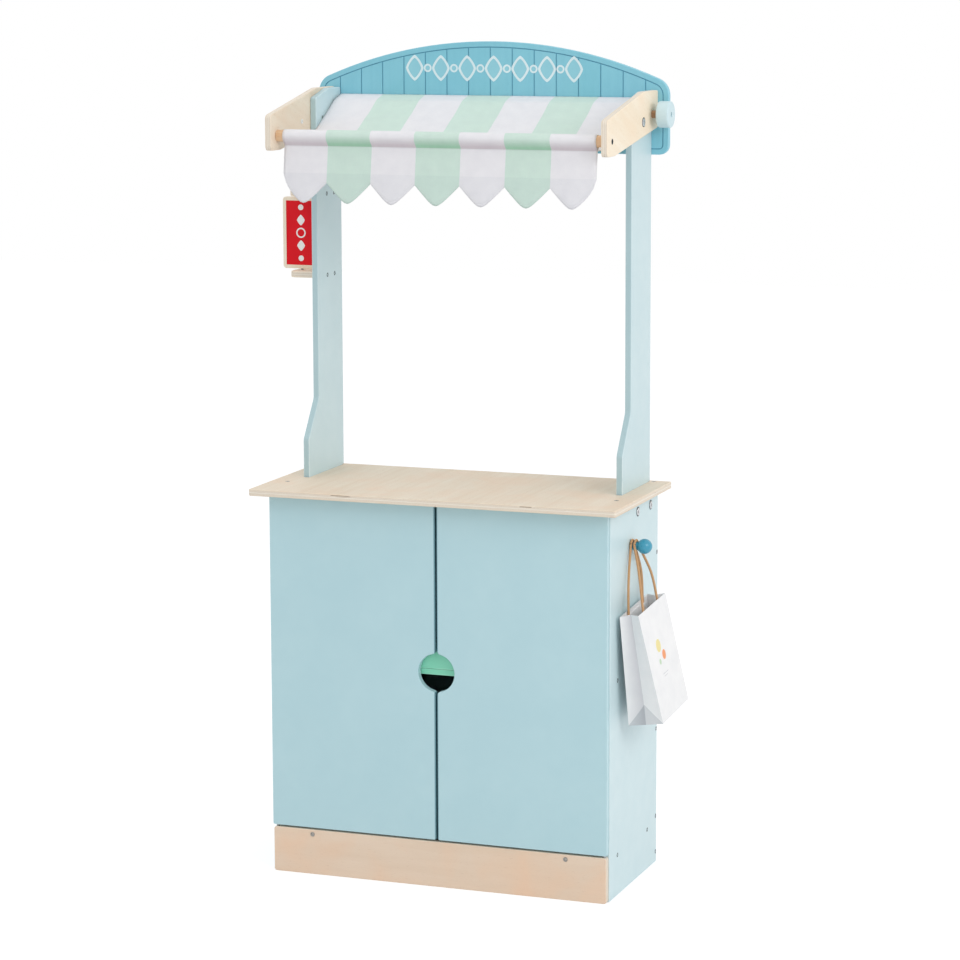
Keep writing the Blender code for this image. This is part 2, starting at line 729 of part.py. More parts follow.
def catmull(points, spacing):
    """Points of a smooth curve through the given points, about one every spacing."""
    given = [Vector(point) for point in points]
    ends = [given[0] * 2 - given[1], *given, given[-1] * 2 - given[-2]]
    route = [given[0]]
    for before, start, end, after in zip(ends, ends[1:], ends[2:], ends[3:]):
        steps = max(1, round((end - start).length / spacing))
        for step in range(1, steps + 1):
            t = step / steps
            route.append(0.5 * (
                2 * start + (end - before) * t + (2 * before - 5 * start + 4 * end - after) * t ** 2
                + (3 * start - before - 3 * end + after) * t ** 3
            ))
    return route


def thick_line(points, thickness):
    """Closed outline of a line that has this thickness."""
    sides = ([], [])
    for index, here in enumerate(points):
        run = (points[min(index + 1, len(points) - 1)] - points[max(index - 1, 0)]).normalized()
        normal = Vector((-run.y, run.x)) * (thickness / 2)
        sides[0].append(tuple(here + normal))
        sides[1].append(tuple(here - normal))
    return sides[0] + sides[1][::-1]


def tongue_length(x):
    """Length of the valance below its seam at this X: seven tongues with rounded points."""
    share = (x + AWNING_HALF) / STRIPE_WIDTH
    across = abs(2 * (share - math.floor(min(share, STRIPE_COUNT - 0.001))) - 1)
    bend = TONGUE_ROUNDNESS
    rise = (math.hypot(across, bend) - bend) / (math.hypot(1, bend) - bend)
    return TONGUE_TIP_LENGTH - (TONGUE_TIP_LENGTH - NOTCH_LENGTH) * rise


def valance(seam_y, seam_z, top_z):
    """Hanging front of the awning: a sheet with one soft fold on each tongue."""
    mesh = bpy.data.meshes.new("valance")
    work = bmesh.new()
    columns = STRIPE_COUNT * STRIPE_COLUMNS
    grid = []
    for column in range(columns + 1):
        x = -AWNING_HALF + 2 * AWNING_HALF * column / columns
        length = tongue_length(x)
        wave = 0.5 - 0.5 * math.cos(2 * math.pi * (x + AWNING_HALF) / STRIPE_WIDTH)
        line = [work.verts.new((x, seam_y, top_z))]
        for share in VALANCE_SHARES:
            drop = VALANCE_LAP + (length - VALANCE_LAP) * share
            line.append(work.verts.new((x, seam_y - VALANCE_WAVE * wave * share, seam_z - drop)))
        grid.append(line)
    for left, right in zip(grid, grid[1:]):
        for row in range(len(left) - 1):
            work.faces.new((left[row], left[row + 1], right[row + 1], right[row]))
    work.to_mesh(mesh)
    work.free()
    sheet = bpy.data.objects.new("valance", mesh)
    CUTTERS.objects.link(sheet)
    wall = sheet.modifiers.new("cloth", "SOLIDIFY")
    wall.thickness = CLOTH_THICKNESS
    wall.offset = 0
    return sheet


def awning():
    """Awning cloth: roof, tunnel round the front rod and valance, with its fastening strip on the board."""
    board_front = behind(ARCH_FRONT_DEPTH)
    strip_front = board_front - GAP - STRIP_THICKNESS
    strip_top = BRACKET_TOP - ROOF_REAR_DROP
    strip = block(
        "awning_fastening_strip",
        (-AWNING_HALF, strip_front, strip_top - STRIP_HEIGHT),
        (AWNING_HALF, board_front - GAP, strip_top),
    )
    fold = Vector((strip_front - GAP - CLOTH_THICKNESS / 2, strip_top))
    rod_y = behind(ROD_DEPTH)
    seam = Vector((rod_y - CLOTH_THICKNESS / 4, ROD_HEIGHT - SEAM_DROP))
    points = [fold]
    for share, sag in ROOF_SAG:
        point = fold.lerp(seam, share)
        points.append(Vector((point.x, point.y - sag)))
    points.append(seam)
    line = [fold - Vector((0, ROOF_HEM))] + catmull(points, ROOF_POINT_STEP)
    roof = plate("awning_cloth", "X", thick_line(line, CLOTH_THICKNESS), -AWNING_HALF, AWNING_HALF)
    bore = ROD_RADIUS + GAP
    outer = arc((rod_y, ROD_HEIGHT), bore + CLOTH_THICKNESS, 0, 360, TUNNEL_STEPS)[:-1]
    inner = arc((rod_y, ROD_HEIGHT), bore, 0, 360, TUNNEL_STEPS)[:-1]
    tunnel = plate("tunnel", "X", outer, -AWNING_HALF, AWNING_HALF, [inner])
    hanging = valance(rod_y, seam.y, ROD_HEIGHT - bore - CLOTH_THICKNESS / 2)
    boolean(roof, tunnel, "UNION")
    boolean(roof, hanging, "UNION")
    return finished(roof, "awning_cloth"), finished(strip, "awning_cloth")


def front_rod(side_brackets):
    """Rod between the brackets, with a screw through each."""
    centre = (behind(ROD_DEPTH), ROD_HEIGHT)
    half = BRACKET_INNER - GAP
    bar = rod("front_rod", ROD_RADIUS, (-half, *centre), (half, *centre), ROD_STEPS)
    for side in (-1, 1):
        screw(
            "rod_screw_" + sided(side), (side * BRACKET_OUTER, *centre), (side, 0, 0), SCREW_LENGTH,
            ROD_SCREW_HEAD_RADIUS, (side_brackets[side], bar),
        )
    return finished(bar, "natural_ply")


def curtain_roller(side_posts, side_brackets):
    """Roller dowel through posts and brackets, its knobs, the rolled curtain and the hem bar."""
    centre = (behind(ROLLER_DEPTH), ROLLER_HEIGHT)
    dowel_half = KNOB_INNER + KNOB_BORE_DEPTH - GAP
    dowel = rod("roller_dowel", ROLLER_RADIUS, (-dowel_half, *centre), (dowel_half, *centre))
    pieces = [finished(dowel, "natural_ply")]
    bore = ROLLER_RADIUS + GAP
    for side in (-1, 1):
        word = sided(side)
        start = (side * (POST_INNER - POST_THICKNESS), *centre)
        end = (side * (BRACKET_OUTER + BRACKET_THICKNESS), *centre)
        drill("roller_hole_" + word, bore, start, end, side_posts[side], side_brackets[side])
        face = KNOB_LENGTH - KNOB_SOCKET_DEPTH
        profile = [(0, face), (KNOB_SOCKET_RADIUS, face), (KNOB_SOCKET_RADIUS, KNOB_LENGTH)]
        profile += [
            (radius, height) for height, radius in
            arc((KNOB_LENGTH - KNOB_EDGE, KNOB_RADIUS - KNOB_EDGE), KNOB_EDGE, 0, 90, KNOB_EDGE_STEPS)
        ]
        profile += [
            (radius, height) for height, radius in
            arc((KNOB_EDGE, KNOB_RADIUS - KNOB_EDGE), KNOB_EDGE, 90, 180, KNOB_EDGE_STEPS)
        ]
        profile += [(bore, 0), (bore, KNOB_BORE_DEPTH), (0, KNOB_BORE_DEPTH)]
        knob = turned("knob_" + word, profile, (side * KNOB_INNER, *centre), (side, 0, 0), KNOB_STEPS)
        pieces.append(finished(knob, "knob_blue"))
    ring = [
        (bore, CURTAIN_HALF), (CURTAIN_ROLL_RADIUS, CURTAIN_HALF),
        (CURTAIN_ROLL_RADIUS, -CURTAIN_HALF), (bore, -CURTAIN_HALF), (bore, CURTAIN_HALF),
    ]
    roll = turned("curtain_roll", ring, (0, *centre), (1, 0, 0), ROD_STEPS)
    pieces.append(finished(roll, "curtain_cloth"))
    on_pivot("roller_pivot", (0, *centre), *pieces)

    cloth_y = centre[0] + CURTAIN_ROLL_RADIUS + GAP + CURTAIN_THICKNESS / 2
    bar_z = BRACKET_TOP - HEM_BAR_DROP
    bar_half = CURTAIN_HALF + HEM_BAR_REACH
    bar = rod("hem_bar", HEM_BAR_RADIUS, (-bar_half, cloth_y, bar_z), (bar_half, cloth_y, bar_z))
    cloth = block(
        "curtain_cloth",
        (-CURTAIN_HALF, cloth_y - CURTAIN_THICKNESS / 2, bar_z + HEM_BAR_RADIUS + GAP),
        (CURTAIN_HALF, cloth_y + CURTAIN_THICKNESS / 2, ROLLER_HEIGHT),
    )
    finished(bar, "natural_ply")
    on_pivot("hem_bar_slide", (0, cloth_y, bar_z), bar, finished(cloth, "curtain_cloth"))


def door_outline(side):
    """A door's front outline, with its half of the finger hole between two small rounded cusps."""
    hinge = SIDE_OUTER
    meeting = DOOR_MIDDLE_GAP / 2
    cusp_x = meeting + CUSP_RADIUS
    cusp_z = math.sqrt((HOLE_RADIUS + CUSP_RADIUS) ** 2 - cusp_x ** 2)
    lean = math.degrees(math.atan2(cusp_z, cusp_x))
    outline = arc((hinge - DOOR_CORNER, DOOR_FOOT + DOOR_CORNER), DOOR_CORNER, -90, 0, CORNER_STEPS)
    outline += arc((hinge - DOOR_CORNER, DOOR_HEAD - DOOR_CORNER), DOOR_CORNER, 0, 90, CORNER_STEPS)
    outline += arc((meeting + DOOR_CORNER, DOOR_HEAD - DOOR_CORNER), DOOR_CORNER, 90, 180, CORNER_STEPS)
    outline += arc((cusp_x, HOLE_HEIGHT + cusp_z), CUSP_RADIUS, 180, 180 + lean, CUSP_STEPS)
    outline += arc((0, HOLE_HEIGHT), HOLE_RADIUS, lean, -lean, HOLE_STEPS)[1:-1]
    outline += arc((cusp_x, HOLE_HEIGHT - cusp_z), CUSP_RADIUS, 180 - lean, 180, CUSP_STEPS)
    outline += arc((meeting + DOOR_CORNER, DOOR_FOOT + DOOR_CORNER), DOOR_CORNER, 180, 270, CORNER_STEPS)
    return [(side * x, z) for x, z in outline]


def doors(base, top, shelf):
    """Doors that turn on a pin at the foot and the head, with a strike disc for the shelf's magnet."""
    pin_y = behind(DOOR_THICKNESS / 2)
    for side in (-1, 1):
        word = sided(side)
        door = plate("door_" + word, "Y", door_outline(side), behind(0), behind(DOOR_THICKNESS))
        soften(door)
        pin_x = side * DOOR_PIN_X
        rim = DOOR_THICKNESS / 2
        beyond = DOOR_THICKNESS
        quarter = [(pin_x + side * x, pin_y + y) for x, y in arc((0, 0), rim, 0, 90, CUSP_STEPS)]
        far_x = pin_x + side * beyond
        quarter += [(pin_x, pin_y + beyond), (far_x, pin_y + beyond), (far_x, pin_y)]
        boolean(door, plate("rear_edge_" + word, "Z", quarter, DOOR_FOOT - rim, DOOR_HEAD + rim))
        levels = {
            "foot": (PLINTH_HEIGHT - DOOR_PIN_DEPTH, DOOR_FOOT + DOOR_PIN_DEPTH, base),
            "head": (DOOR_HEAD - DOOR_PIN_DEPTH, COUNTER_UNDERSIDE + DOOR_PIN_DEPTH, top),
        }
        for place, (low, high, carrier) in levels.items():
            name = f"door_pin_{word}_{place}"
            pin = rod(name, DOOR_PIN_RADIUS, (pin_x, pin_y, low), (pin_x, pin_y, high), SCREW_STEPS)
            hole = ((pin_x, pin_y, low - GAP), (pin_x, pin_y, high + GAP))
            drill(name + "_hole", DOOR_PIN_RADIUS + GAP, *hole, door, carrier)
            finished(pin, "steel")
        x = side * MAGNET_X
        z = SHELF_HEIGHT - (SHELF_THICKNESS + SHELF_REBATE) / 2
        shelf_front = behind(DOOR_THICKNESS + SHELF_DOOR_GAP)
        magnet_end = shelf_front + MAGNET_LENGTH
        magnet = rod("door_magnet_" + word, MAGNET_RADIUS, (x, shelf_front, z), (x, magnet_end, z))
        drill(
            "magnet_hole_" + word, MAGNET_RADIUS + GAP,
            (x, shelf_front - GAP, z), (x, magnet_end + GAP, z), shelf,
        )
        finished(magnet, "steel")
        rear = behind(DOOR_THICKNESS)
        strike = rod("strike_disc_" + word, STRIKE_RADIUS, (x, rear - STRIKE_THICKNESS, z), (x, rear, z))
        drill(
            "strike_recess_" + word, STRIKE_RADIUS + GAP,
            (x, rear - STRIKE_THICKNESS - GAP, z), (x, rear + GAP, z), door,
        )
        finished(door, "door_blue")
        on_pivot("door_pivot_" + word, (pin_x, pin_y, DOOR_FOOT), door, finished(strike, "steel"))


def flip_sign():
    """Sign that turns on two pins between its holders, on the left post."""
    y = behind(SIGN_DEPTH)
    half = SIGN_WIDTH / 2
    outline = box_outline(SIGN_X - half, SIGN_X + half, SIGN_FOOT, SIGN_TOP, SIGN_CORNER)
    board = plate("flip_sign", "Y", outline, y - SIGN_THICKNESS / 2, y + SIGN_THICKNESS / 2)
    soften(board)
    inner = half - SIGN_BORDER
    for face, name in ((-1, "front"), (1, "rear")):
        surface = y + face * SIGN_THICKNESS / 2
        panel = box_outline(
            SIGN_X - inner, SIGN_X + inner, SIGN_FOOT + SIGN_BORDER, SIGN_TOP - SIGN_BORDER, SIGN_CORNER / 2,
        )
        low, high = sorted((surface - face * SIGN_RECESS, surface + face * GAP))
        boolean(board, plate(f"sign_{name}_recess", "Y", panel, low, high))
    inner_end = -(POST_OUTER + GAP)
    outer_end = inner_end - HOLDER_LENGTH
    holder_outline = rounded([
        (inner_end, y - HOLDER_WIDTH / 2, HOLDER_POST_CORNER),
        (inner_end, y + HOLDER_WIDTH / 2, HOLDER_POST_CORNER),
        (outer_end, y + HOLDER_WIDTH / 2, HOLDER_CORNER),
        (outer_end, y - HOLDER_WIDTH / 2, HOLDER_CORNER),
    ])
    for word, edge, away in (("lower", SIGN_FOOT, -1), ("upper", SIGN_TOP, 1)):
        near = edge + away * HOLDER_GAP
        low, high = sorted((near, near + away * HOLDER_THICKNESS))
        holder = plate("sign_holder_" + word, "Z", holder_outline, low, high)
        soften(holder)
        start, end = sorted((edge - away * SIGN_PIN_REACH, near + away * HOLDER_PIN_DEPTH))
        pin = rod("sign_pin_" + word, SIGN_PIN_RADIUS, (SIGN_X, y, start), (SIGN_X, y, end), SCREW_STEPS)
        drill(
            "sign_pin_hole_" + word, SIGN_PIN_RADIUS + GAP,
            (SIGN_X, y, start - GAP), (SIGN_X, y, end + GAP), board, holder,
        )
        finished(holder, "natural_ply")
        finished(pin, "steel")
    on_pivot("sign_pivot", (SIGN_X, y, SIGN_FOOT), finished(board, "sign_red"))


def peg(panel):
    """Peg with a round head and a tenon, on the right side panel."""
    reach = PEG_BALL_REACH
    neck = math.degrees(math.asin(PEG_SHANK_RADIUS / PEG_BALL_RADIUS))
    ball = arc((0, 0), PEG_BALL_RADIUS, 0, 180 - neck, PEG_HEAD_STEPS)
    head = [(height, reach + along) for along, height in ball]
    profile = head + [
        (PEG_SHANK_RADIUS, GAP), (PEG_TENON_RADIUS, GAP),
        (PEG_TENON_RADIUS, -PEG_TENON_LENGTH), (0, -PEG_TENON_LENGTH),
    ]
    profile[0] = (0, reach + PEG_BALL_RADIUS)
    foot = Vector((SIDE_OUTER, behind(PEG_DEPTH), PEG_HEIGHT))
    piece = turned("peg", profile, foot, (1, 0, 0), ROD_STEPS)
    drill(
        "peg_hole", PEG_TENON_RADIUS + GAP,
        foot + Vector((GAP, 0, 0)), foot - Vector((PEG_TENON_LENGTH + GAP, 0, 0)), panel,
    )
    finished(piece, "peg_blue")


def bag_frame():
    """Place and lean of the bag: the origin is the middle of its mouth."""
    mouth = Vector((
        SIDE_OUTER + BAG_TOP_REACH, behind(PEG_DEPTH) + BAG_TOP_SHIFT, PEG_HEIGHT - BAG_TOP_DROP,
    ))
    back = Matrix.Rotation(math.radians(BAG_LEAN_BACK), 4, "X")
    out = Matrix.Rotation(-math.radians(BAG_LEAN_OUT), 4, "Y")
    return Matrix.Translation(mouth) @ back @ out


def paper_bag():
    """Open paper bag, wider at its foot, with its sides folded in a little at the mouth."""
    work = bmesh.new()

    def ring(half_x, half_y, z, tuck):
        corners = [(-half_x, -half_y), (0, -half_y + tuck), (half_x, -half_y),
                   (half_x, half_y), (0, half_y - tuck), (-half_x, half_y)]
        return [work.verts.new((x, y, z)) for x, y in corners]

    wall = BAG_WALL
    levels = (
        (0, BAG_MOUTH_TUCK, 0), (0.5, BAG_MIDDLE_TUCK, 0), (1, 0, 0),
        (1, 0, wall), (0.5, BAG_MIDDLE_TUCK, wall), (0, BAG_MOUTH_TUCK, wall),
    )
    rings = []
    for share, tuck, inset in levels:
        half_x = (BAG_TOP_WIDTH + (BAG_FOOT_WIDTH - BAG_TOP_WIDTH) * share) / 2 - inset
        half_y = (BAG_TOP_LENGTH + (BAG_FOOT_LENGTH - BAG_TOP_LENGTH) * share) / 2 - inset
        z = -BAG_HEIGHT * share + (inset if share == 1 else 0)
        rings.append(ring(half_x, half_y, z, tuck))
    for upper, lower in zip(rings, rings[1:] + rings[:1]):
        if upper is rings[2]:
            continue
        for index in range(6):
            after = (index + 1) % 6
            work.faces.new((upper[index], lower[index], lower[after], upper[after]))
    work.faces.new(rings[2][::-1])
    work.faces.new(rings[3])
    bmesh.ops.recalc_face_normals(work, faces=work.faces)
    mesh = bpy.data.meshes.new("paper_bag")
    work.to_mesh(mesh)
    work.free()
    bag = bpy.data.objects.new("paper_bag", mesh)
    CUTTERS.objects.link(bag)
    bag.matrix_world = bag_frame()
    return finished(bag, "white_paper")


def handle_route(side, seat, middles):
    """Route of one handle, from inside the bag over the peg's shank and back, where the bag hangs."""
    frame = bag_frame()
    wall_x = side * (BAG_TOP_WIDTH / 2 - BAG_WALL - GAP - HANDLE_RADIUS)
    peg_y = behind(PEG_DEPTH)
    orbit = PEG_SHANK_RADIUS + GAP + HANDLE_RADIUS
    seat_x = SIDE_OUTER + seat
    bearing = arc((0, 0), orbit, SEAT_START, 180 - SEAT_START, SEAT_STEPS)
    legs = []
    for along, (back, up, share) in zip((-HANDLE_SPREAD, HANDLE_SPREAD), middles):
        foot = frame @ Vector((wall_x, along, -HANDLE_BODY_REACH))
        rim = frame @ Vector((wall_x, along, 0))
        middle = Vector((rim.x + (seat_x - rim.x) * share, peg_y + back, PEG_HEIGHT + up))
        legs.append([foot, rim, middle])
    over = [Vector((seat_x, peg_y - y, PEG_HEIGHT + z)) for y, z in bearing]
    return legs[0] + over + legs[1][::-1]


def handle(name, route):
    """Twisted paper cord along a route."""
    curve = bpy.data.curves.new(name, "CURVE")
    curve.dimensions = "3D"
    curve.bevel_depth = HANDLE_RADIUS
    curve.bevel_resolution = 2
    curve.use_fill_caps = True
    points = catmull(route, HANDLE_POINT_STEP)
    spline = curve.splines.new("POLY")
    spline.points.add(len(points) - 1)
    for point, place in zip(spline.points, points):
        point.co = (*place, 1)
    guide = bpy.data.objects.new(name, curve)
    CUTTERS.objects.link(guide)
    return finished(meshed(guide), "paper_cord")


def bag_on_peg():
    """The bag and its two handles, which turn together about the peg."""
    bag = paper_bag()
    inner = handle("bag_handle_inner", handle_route(-1, INNER_HANDLE_SEAT, INNER_HANDLE_MIDDLES))
    outer = handle("bag_handle_outer", handle_route(1, OUTER_HANDLE_SEAT, OUTER_HANDLE_MIDDLES))
    on_pivot("bag_pivot", (SIDE_OUTER, behind(PEG_DEPTH), PEG_HEIGHT), bag, inner, outer)


def carcass_fasteners(panels, base, bottom, top, side_posts, side_brackets, arch):
    """Screws and ring-headed bolts of the cabinet, the posts, the brackets and the arched board."""
    bottom_middle = BOTTOM_TOP - BOTTOM_THICKNESS / 2
    for side in (-1, 1):
        word = sided(side)
        screw(
            "plinth_screw_" + word, (side * PLINTH_SCREW_X, behind(0), bottom_middle), (0, -1, 0),
            SCREW_LENGTH, SCREW_HEAD_RADIUS, (base, bottom),
        )
        for place, depth in zip(("front", "rear"), COUNTER_SCREW_DEPTHS):
            screw(
                f"counter_screw_{word}_{place}", (side * SIDE_MIDDLE, behind(depth), COUNTER_HEIGHT),
                (0, 0, 1), SCREW_LENGTH, SCREW_HEAD_RADIUS, (top, panels[side]),
            )
        for place, depth in zip(("front", "rear"), POST_BOLT_DEPTHS):
            bolt(
                f"post_bolt_{word}_{place}",
                (side * SIDE_OUTER, behind(depth), COUNTER_UNDERSIDE - POST_BOLT_DROP),
                (side, 0, 0), SIDE_THICKNESS + POST_THICKNESS - GAP, (panels[side], side_posts[side]),
            )
        bolt(
            "bracket_bolt_" + word,
            (side * BRACKET_OUTER, behind(BRACKET_BOLT_DEPTH), BRACKET_TOP - BRACKET_BOLT_DROP),
            (side, 0, 0), BRACKET_THICKNESS + POST_THICKNESS - GAP, (side_brackets[side], side_posts[side]),
        )
        arch_back = behind(ARCH_FRONT_DEPTH) + ARCH_THICKNESS
        post_middle = POST_INNER + POST_THICKNESS / 2
        for place, drop in zip(("upper", "lower"), ARCH_SCREW_DROPS):
            screw(
                f"arch_screw_{word}_{place}", (side * post_middle, arch_back, BRACKET_TOP - drop), (0, 1, 0),
                SCREW_LENGTH, SCREW_HEAD_RADIUS, (arch, side_posts[side]),
            )


def build():
    """Builds every piece of the shop."""
    panels = side_panels()
    base = plinth()
    bottom, shelf = inner_boards()
    top = countertop()
    side_posts = posts()
    side_brackets = brackets()
    arch = arched_board()
    awning()
    front_rod(side_brackets)
    curtain_roller(side_posts, side_brackets)
    doors(base, top, shelf)
    flip_sign()
    peg(panels[1])
    bag_on_peg()
    carcass_fasteners(panels, base, bottom, top, side_posts, side_brackets, arch)
    for piece in PARTS.objects:
        if piece.type == "MESH":
            smooth(piece.data)


build()
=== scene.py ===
"""Play shop and puppet theatre: its finishes, cloth, paper and small fittings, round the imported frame.

Metres, +X to the right, +Y to the back, +Z up. The origin is the middle of the plinth's underside.
"""

import math

import bmesh
import bpy
from mathutils import Matrix, Vector, noise


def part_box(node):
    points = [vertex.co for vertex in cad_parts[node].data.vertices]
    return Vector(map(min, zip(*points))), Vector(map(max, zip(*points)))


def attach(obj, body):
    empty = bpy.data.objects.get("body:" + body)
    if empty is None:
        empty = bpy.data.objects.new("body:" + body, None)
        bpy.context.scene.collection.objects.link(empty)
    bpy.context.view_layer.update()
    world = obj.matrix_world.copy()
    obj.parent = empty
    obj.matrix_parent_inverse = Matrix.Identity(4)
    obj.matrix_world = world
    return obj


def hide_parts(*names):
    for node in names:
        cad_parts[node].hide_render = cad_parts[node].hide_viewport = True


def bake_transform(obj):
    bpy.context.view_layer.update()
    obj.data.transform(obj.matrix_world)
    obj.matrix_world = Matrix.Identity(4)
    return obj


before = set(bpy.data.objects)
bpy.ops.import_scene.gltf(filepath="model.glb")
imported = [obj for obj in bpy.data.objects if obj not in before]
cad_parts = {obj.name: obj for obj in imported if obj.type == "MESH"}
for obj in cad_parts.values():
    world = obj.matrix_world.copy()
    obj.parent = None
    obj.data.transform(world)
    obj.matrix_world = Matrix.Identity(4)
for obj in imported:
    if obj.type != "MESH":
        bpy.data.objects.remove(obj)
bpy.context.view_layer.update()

# Clearance between touching pieces, and the direction words
GAP = 0.0003
FRONT, BACK, UP, RIGHT = (0, -1, 0), (0, 1, 0), (0, 0, 1), (1, 0, 0)

# Awning, cut as its solid is: each sag is a share of the roof's run, and the drop there below a straight line
AWNING_CLOTH = 0.0009
STRIPE_COUNT = 7
STRIPE_COLUMNS = 16
REAR_HEM = 0.0135
REAR_HEM_ROWS = 3
ROOF_SAG = ((0.127, 0.0001), (0.26, 0.0078), (0.355, 0.0116), (0.5, 0.0176), (0.654, 0.0162), (0.832, 0.0103))
SEAM_DROP = 0.0147
SEAM_HALF = 0.0006
TUNNEL_STEPS = 30
NOTCH_LENGTH = 0.057
TONGUE_TIP_LENGTH = 0.0875
TONGUE_ROUNDNESS = 0.22
# Cloth below the seam down to the tongues' doubled ends, where the stripes take a painted shade
TONGUE_FACING = 0.042
SHOULDER_RADIUS = 0.020
SHOULDER_RISE = 0.7
VALANCE_WAVE = 0.0025
VALANCE_LEAN = 0.0115
VALANCE_RIPPLE = 0.0011
VALANCE_ROWS = 22
ROOF_LONG_FOLD = 0.0017
ROOF_SHORT_FOLD = 0.0007
ROOF_EDGE_SAG = 0.0026
ROOF_OVER_ROLL = 0.0006
ROOF_ROW = 0.004

# How the awning's roof ends, each place as a distance to the back and a height over the seam: ROOF_END counts
# from the rod's middle line, and SEAM_TURN from the seam's rear half
ROOF_END = (0.0025, 0.0004)
SEAM_TURN = ((0.0005, -0.0004), (-0.0001, 0.0001), (0.0004, 0.0012))
SEAM_FRONT_RISE = 0.0008

# Tones along the awning's cloth: round the rod's front and underside it darkens, partly from the wood showing
# through and partly as painted shade, both as lengths of cloth before the seam, and each tone ends softly
ROD_FRONT_RUN = 0.019
ROD_UNDER_RUN = 0.004
SEAM_SOFT = 0.001
# Softness of the painted shade's edge on the tongues' doubled ends
FACING_SHADE_SOFT = 0.0004

# Curtain
CURTAIN_CLOTH = 0.0005
CURTAIN_PITCH = 0.00062
CURTAIN_DROP = 0.5225
CURTAIN_ROWS = 48
CURTAIN_COLUMNS = 56
CURTAIN_NARROWER = 0.0004
CURTAIN_HEM = 0.012
CURTAIN_HEM_SOFT = 0.0005
CURTAIN_SEAM_RISE = 0.0098
CURTAIN_RIPPLE = 0.0005
HEM_LOOP_STEPS = 28
ROLL_COLUMNS = 8
ROLL_STEPS_A_TURN = 40

# Stitches: how far they stand off the cloth, and how far inside its edges each line of them runs
STITCH_PROUD = 0.0001
TONGUE_STITCH_INSET = 0.0045
TONGUE_STITCH_RISE = 0.005625
TONGUE_STITCH_STEPS = 40
SIDE_STITCH_INSET = 0.006
SEAM_STITCH_INSET = 0.002
SEAM_STITCH_DROP = 0.0012
HEM_STITCH_INSET = 0.003
HEM_STITCH_DROP = 0.001

# Knobs, peg and the bush in the left bracket
KNOB_EDGE = 0.0024
KNOB_SOCKET_RADIUS = 0.004
KNOB_SOCKET_DEPTH = 0.004
KNOB_SOCKET_FILLET = 0.0004
KNOB_SOCKET_RIM = 0.0006
KNOB_BORE_DEPTH = 0.012
TURNED_RUB = 0.0001
PEG_DEPTH = 0.1068
PEG_SHANK = 0.0065
PEG_TENON = 0.004
BUSH_DEPTH, BUSH_HEIGHT = 0.111, 1.181

# Screws, bolts and washers, with the places in Y and Z of the screws that have no node of their own
SCREW_RADIUS = 0.0036
SCREW_LENGTH = 0.030
SCREW_SHANK_RADIUS = 0.0017
SCREW_CONE = 0.0030
SCREW_POINT = 0.004
CROSS_DEPTH = 0.0011
CROSS_TOP = 0.001
RECESS_WIDER = 1.25
ROD_SCREW_RADIUS = 0.0042
HOLDER_SCREW_RADIUS = 0.0038
HOLDER_SCREW_LENGTH = 0.009
BOLT_RADIUS = 0.0062
BOLT_HEAD = 0.0012
BOLT_SOCKET = 0.0023
BOLT_SHANK_RADIUS = 0.003
BOLT_LENGTH = 0.0205
BOLT_CLEAR = 0.0001
WASHER_RADIUS = 0.0074
WASHER_HOLE = 0.0058
WASHER_THICKNESS = 0.0005
SIDE_SCREWS = (
    (0.0456, 0.0644), (0.199, 0.0644), (0.0438, 0.3400), (0.199, 0.3400),
    (0.244, 0.0168), (0.244, 0.0755), (0.244, 0.2187), (0.244, 0.3800), (0.244, 0.5050),
)
HOLDER_SCREWS = ((0.184, 0.933), (0.2132, 0.933), (0.184, 1.063), (0.2132, 1.063))

# Printed ornaments: thickness of the print, and half width, half height and roundness of each outline
PRINT = 0.00016
THIN_PRINT = 0.7 * PRINT
LOZENGE_RIM, LOZENGE_HOLE, LOZENGE_FILL = (0.0150, 0.0205, 1.3), (0.0110, 0.0158, 1.3), (0.0109, 0.0157, 1.3)
DOT_RIM, DOT_HOLE, DOT_FILL = (0.0066, 0.0066, 2), (0.0038, 0.0038, 2), (0.0037, 0.0037, 2)
LOZENGE_COUNT = 7
LOZENGE_PITCH = 0.0445
LOZENGE_MIDDLE_X, LOZENGE_MIDDLE_Z = 0.0055, 1.2615
SIGN_DOT, SIGN_LOZENGE = (0.0046, 0.0046, 2), (0.0068, 0.0086, 1.25)
SIGN_RING, SIGN_RING_HOLE = (0.0082, 0.0082, 2), (0.0060, 0.0060, 2)
SIGN_PITCH = 0.0205
SIGN_RECESS = 0.0005
SIGN_BORDER = 0.0059
SIGN_PANEL_LAP = 0.00005

# Arched board: pitch of its planks, and how far behind its face a groove's floor takes painted shade
PLANK_PITCH = 0.0366
GROOVE_SHADE_START = 0.0004

# Painted boards: half width of the painted shade line in the gap where the doors meet, and where a narrow
# side's tint starts and is full
DOOR_SEAM_SHADE = 0.0022
RIM_START, RIM_FULL = 0.0005, 0.0014

# Bare wood
CREAM_VENEER = {
    "Light": (250, 240, 222), "Dark": (242, 226, 201), "Warm": (248, 224, 196), "Pore": (206, 178, 146),
}
COUNTER_VENEER = {
    "Light": (239, 228, 210), "Dark": (228, 209, 186), "Warm": (236, 210, 185), "Pore": (190, 162, 132),
}
PINK_VENEER = {
    "Light": (240, 219, 198), "Dark": (229, 205, 181), "Warm": (242, 206, 176), "Pore": (196, 160, 130),
}
PLY_EDGE = {"Long": (245, 237, 223), "End": (235, 223, 206), "Glue": (198, 178, 157), "Void": (122, 92, 68)}

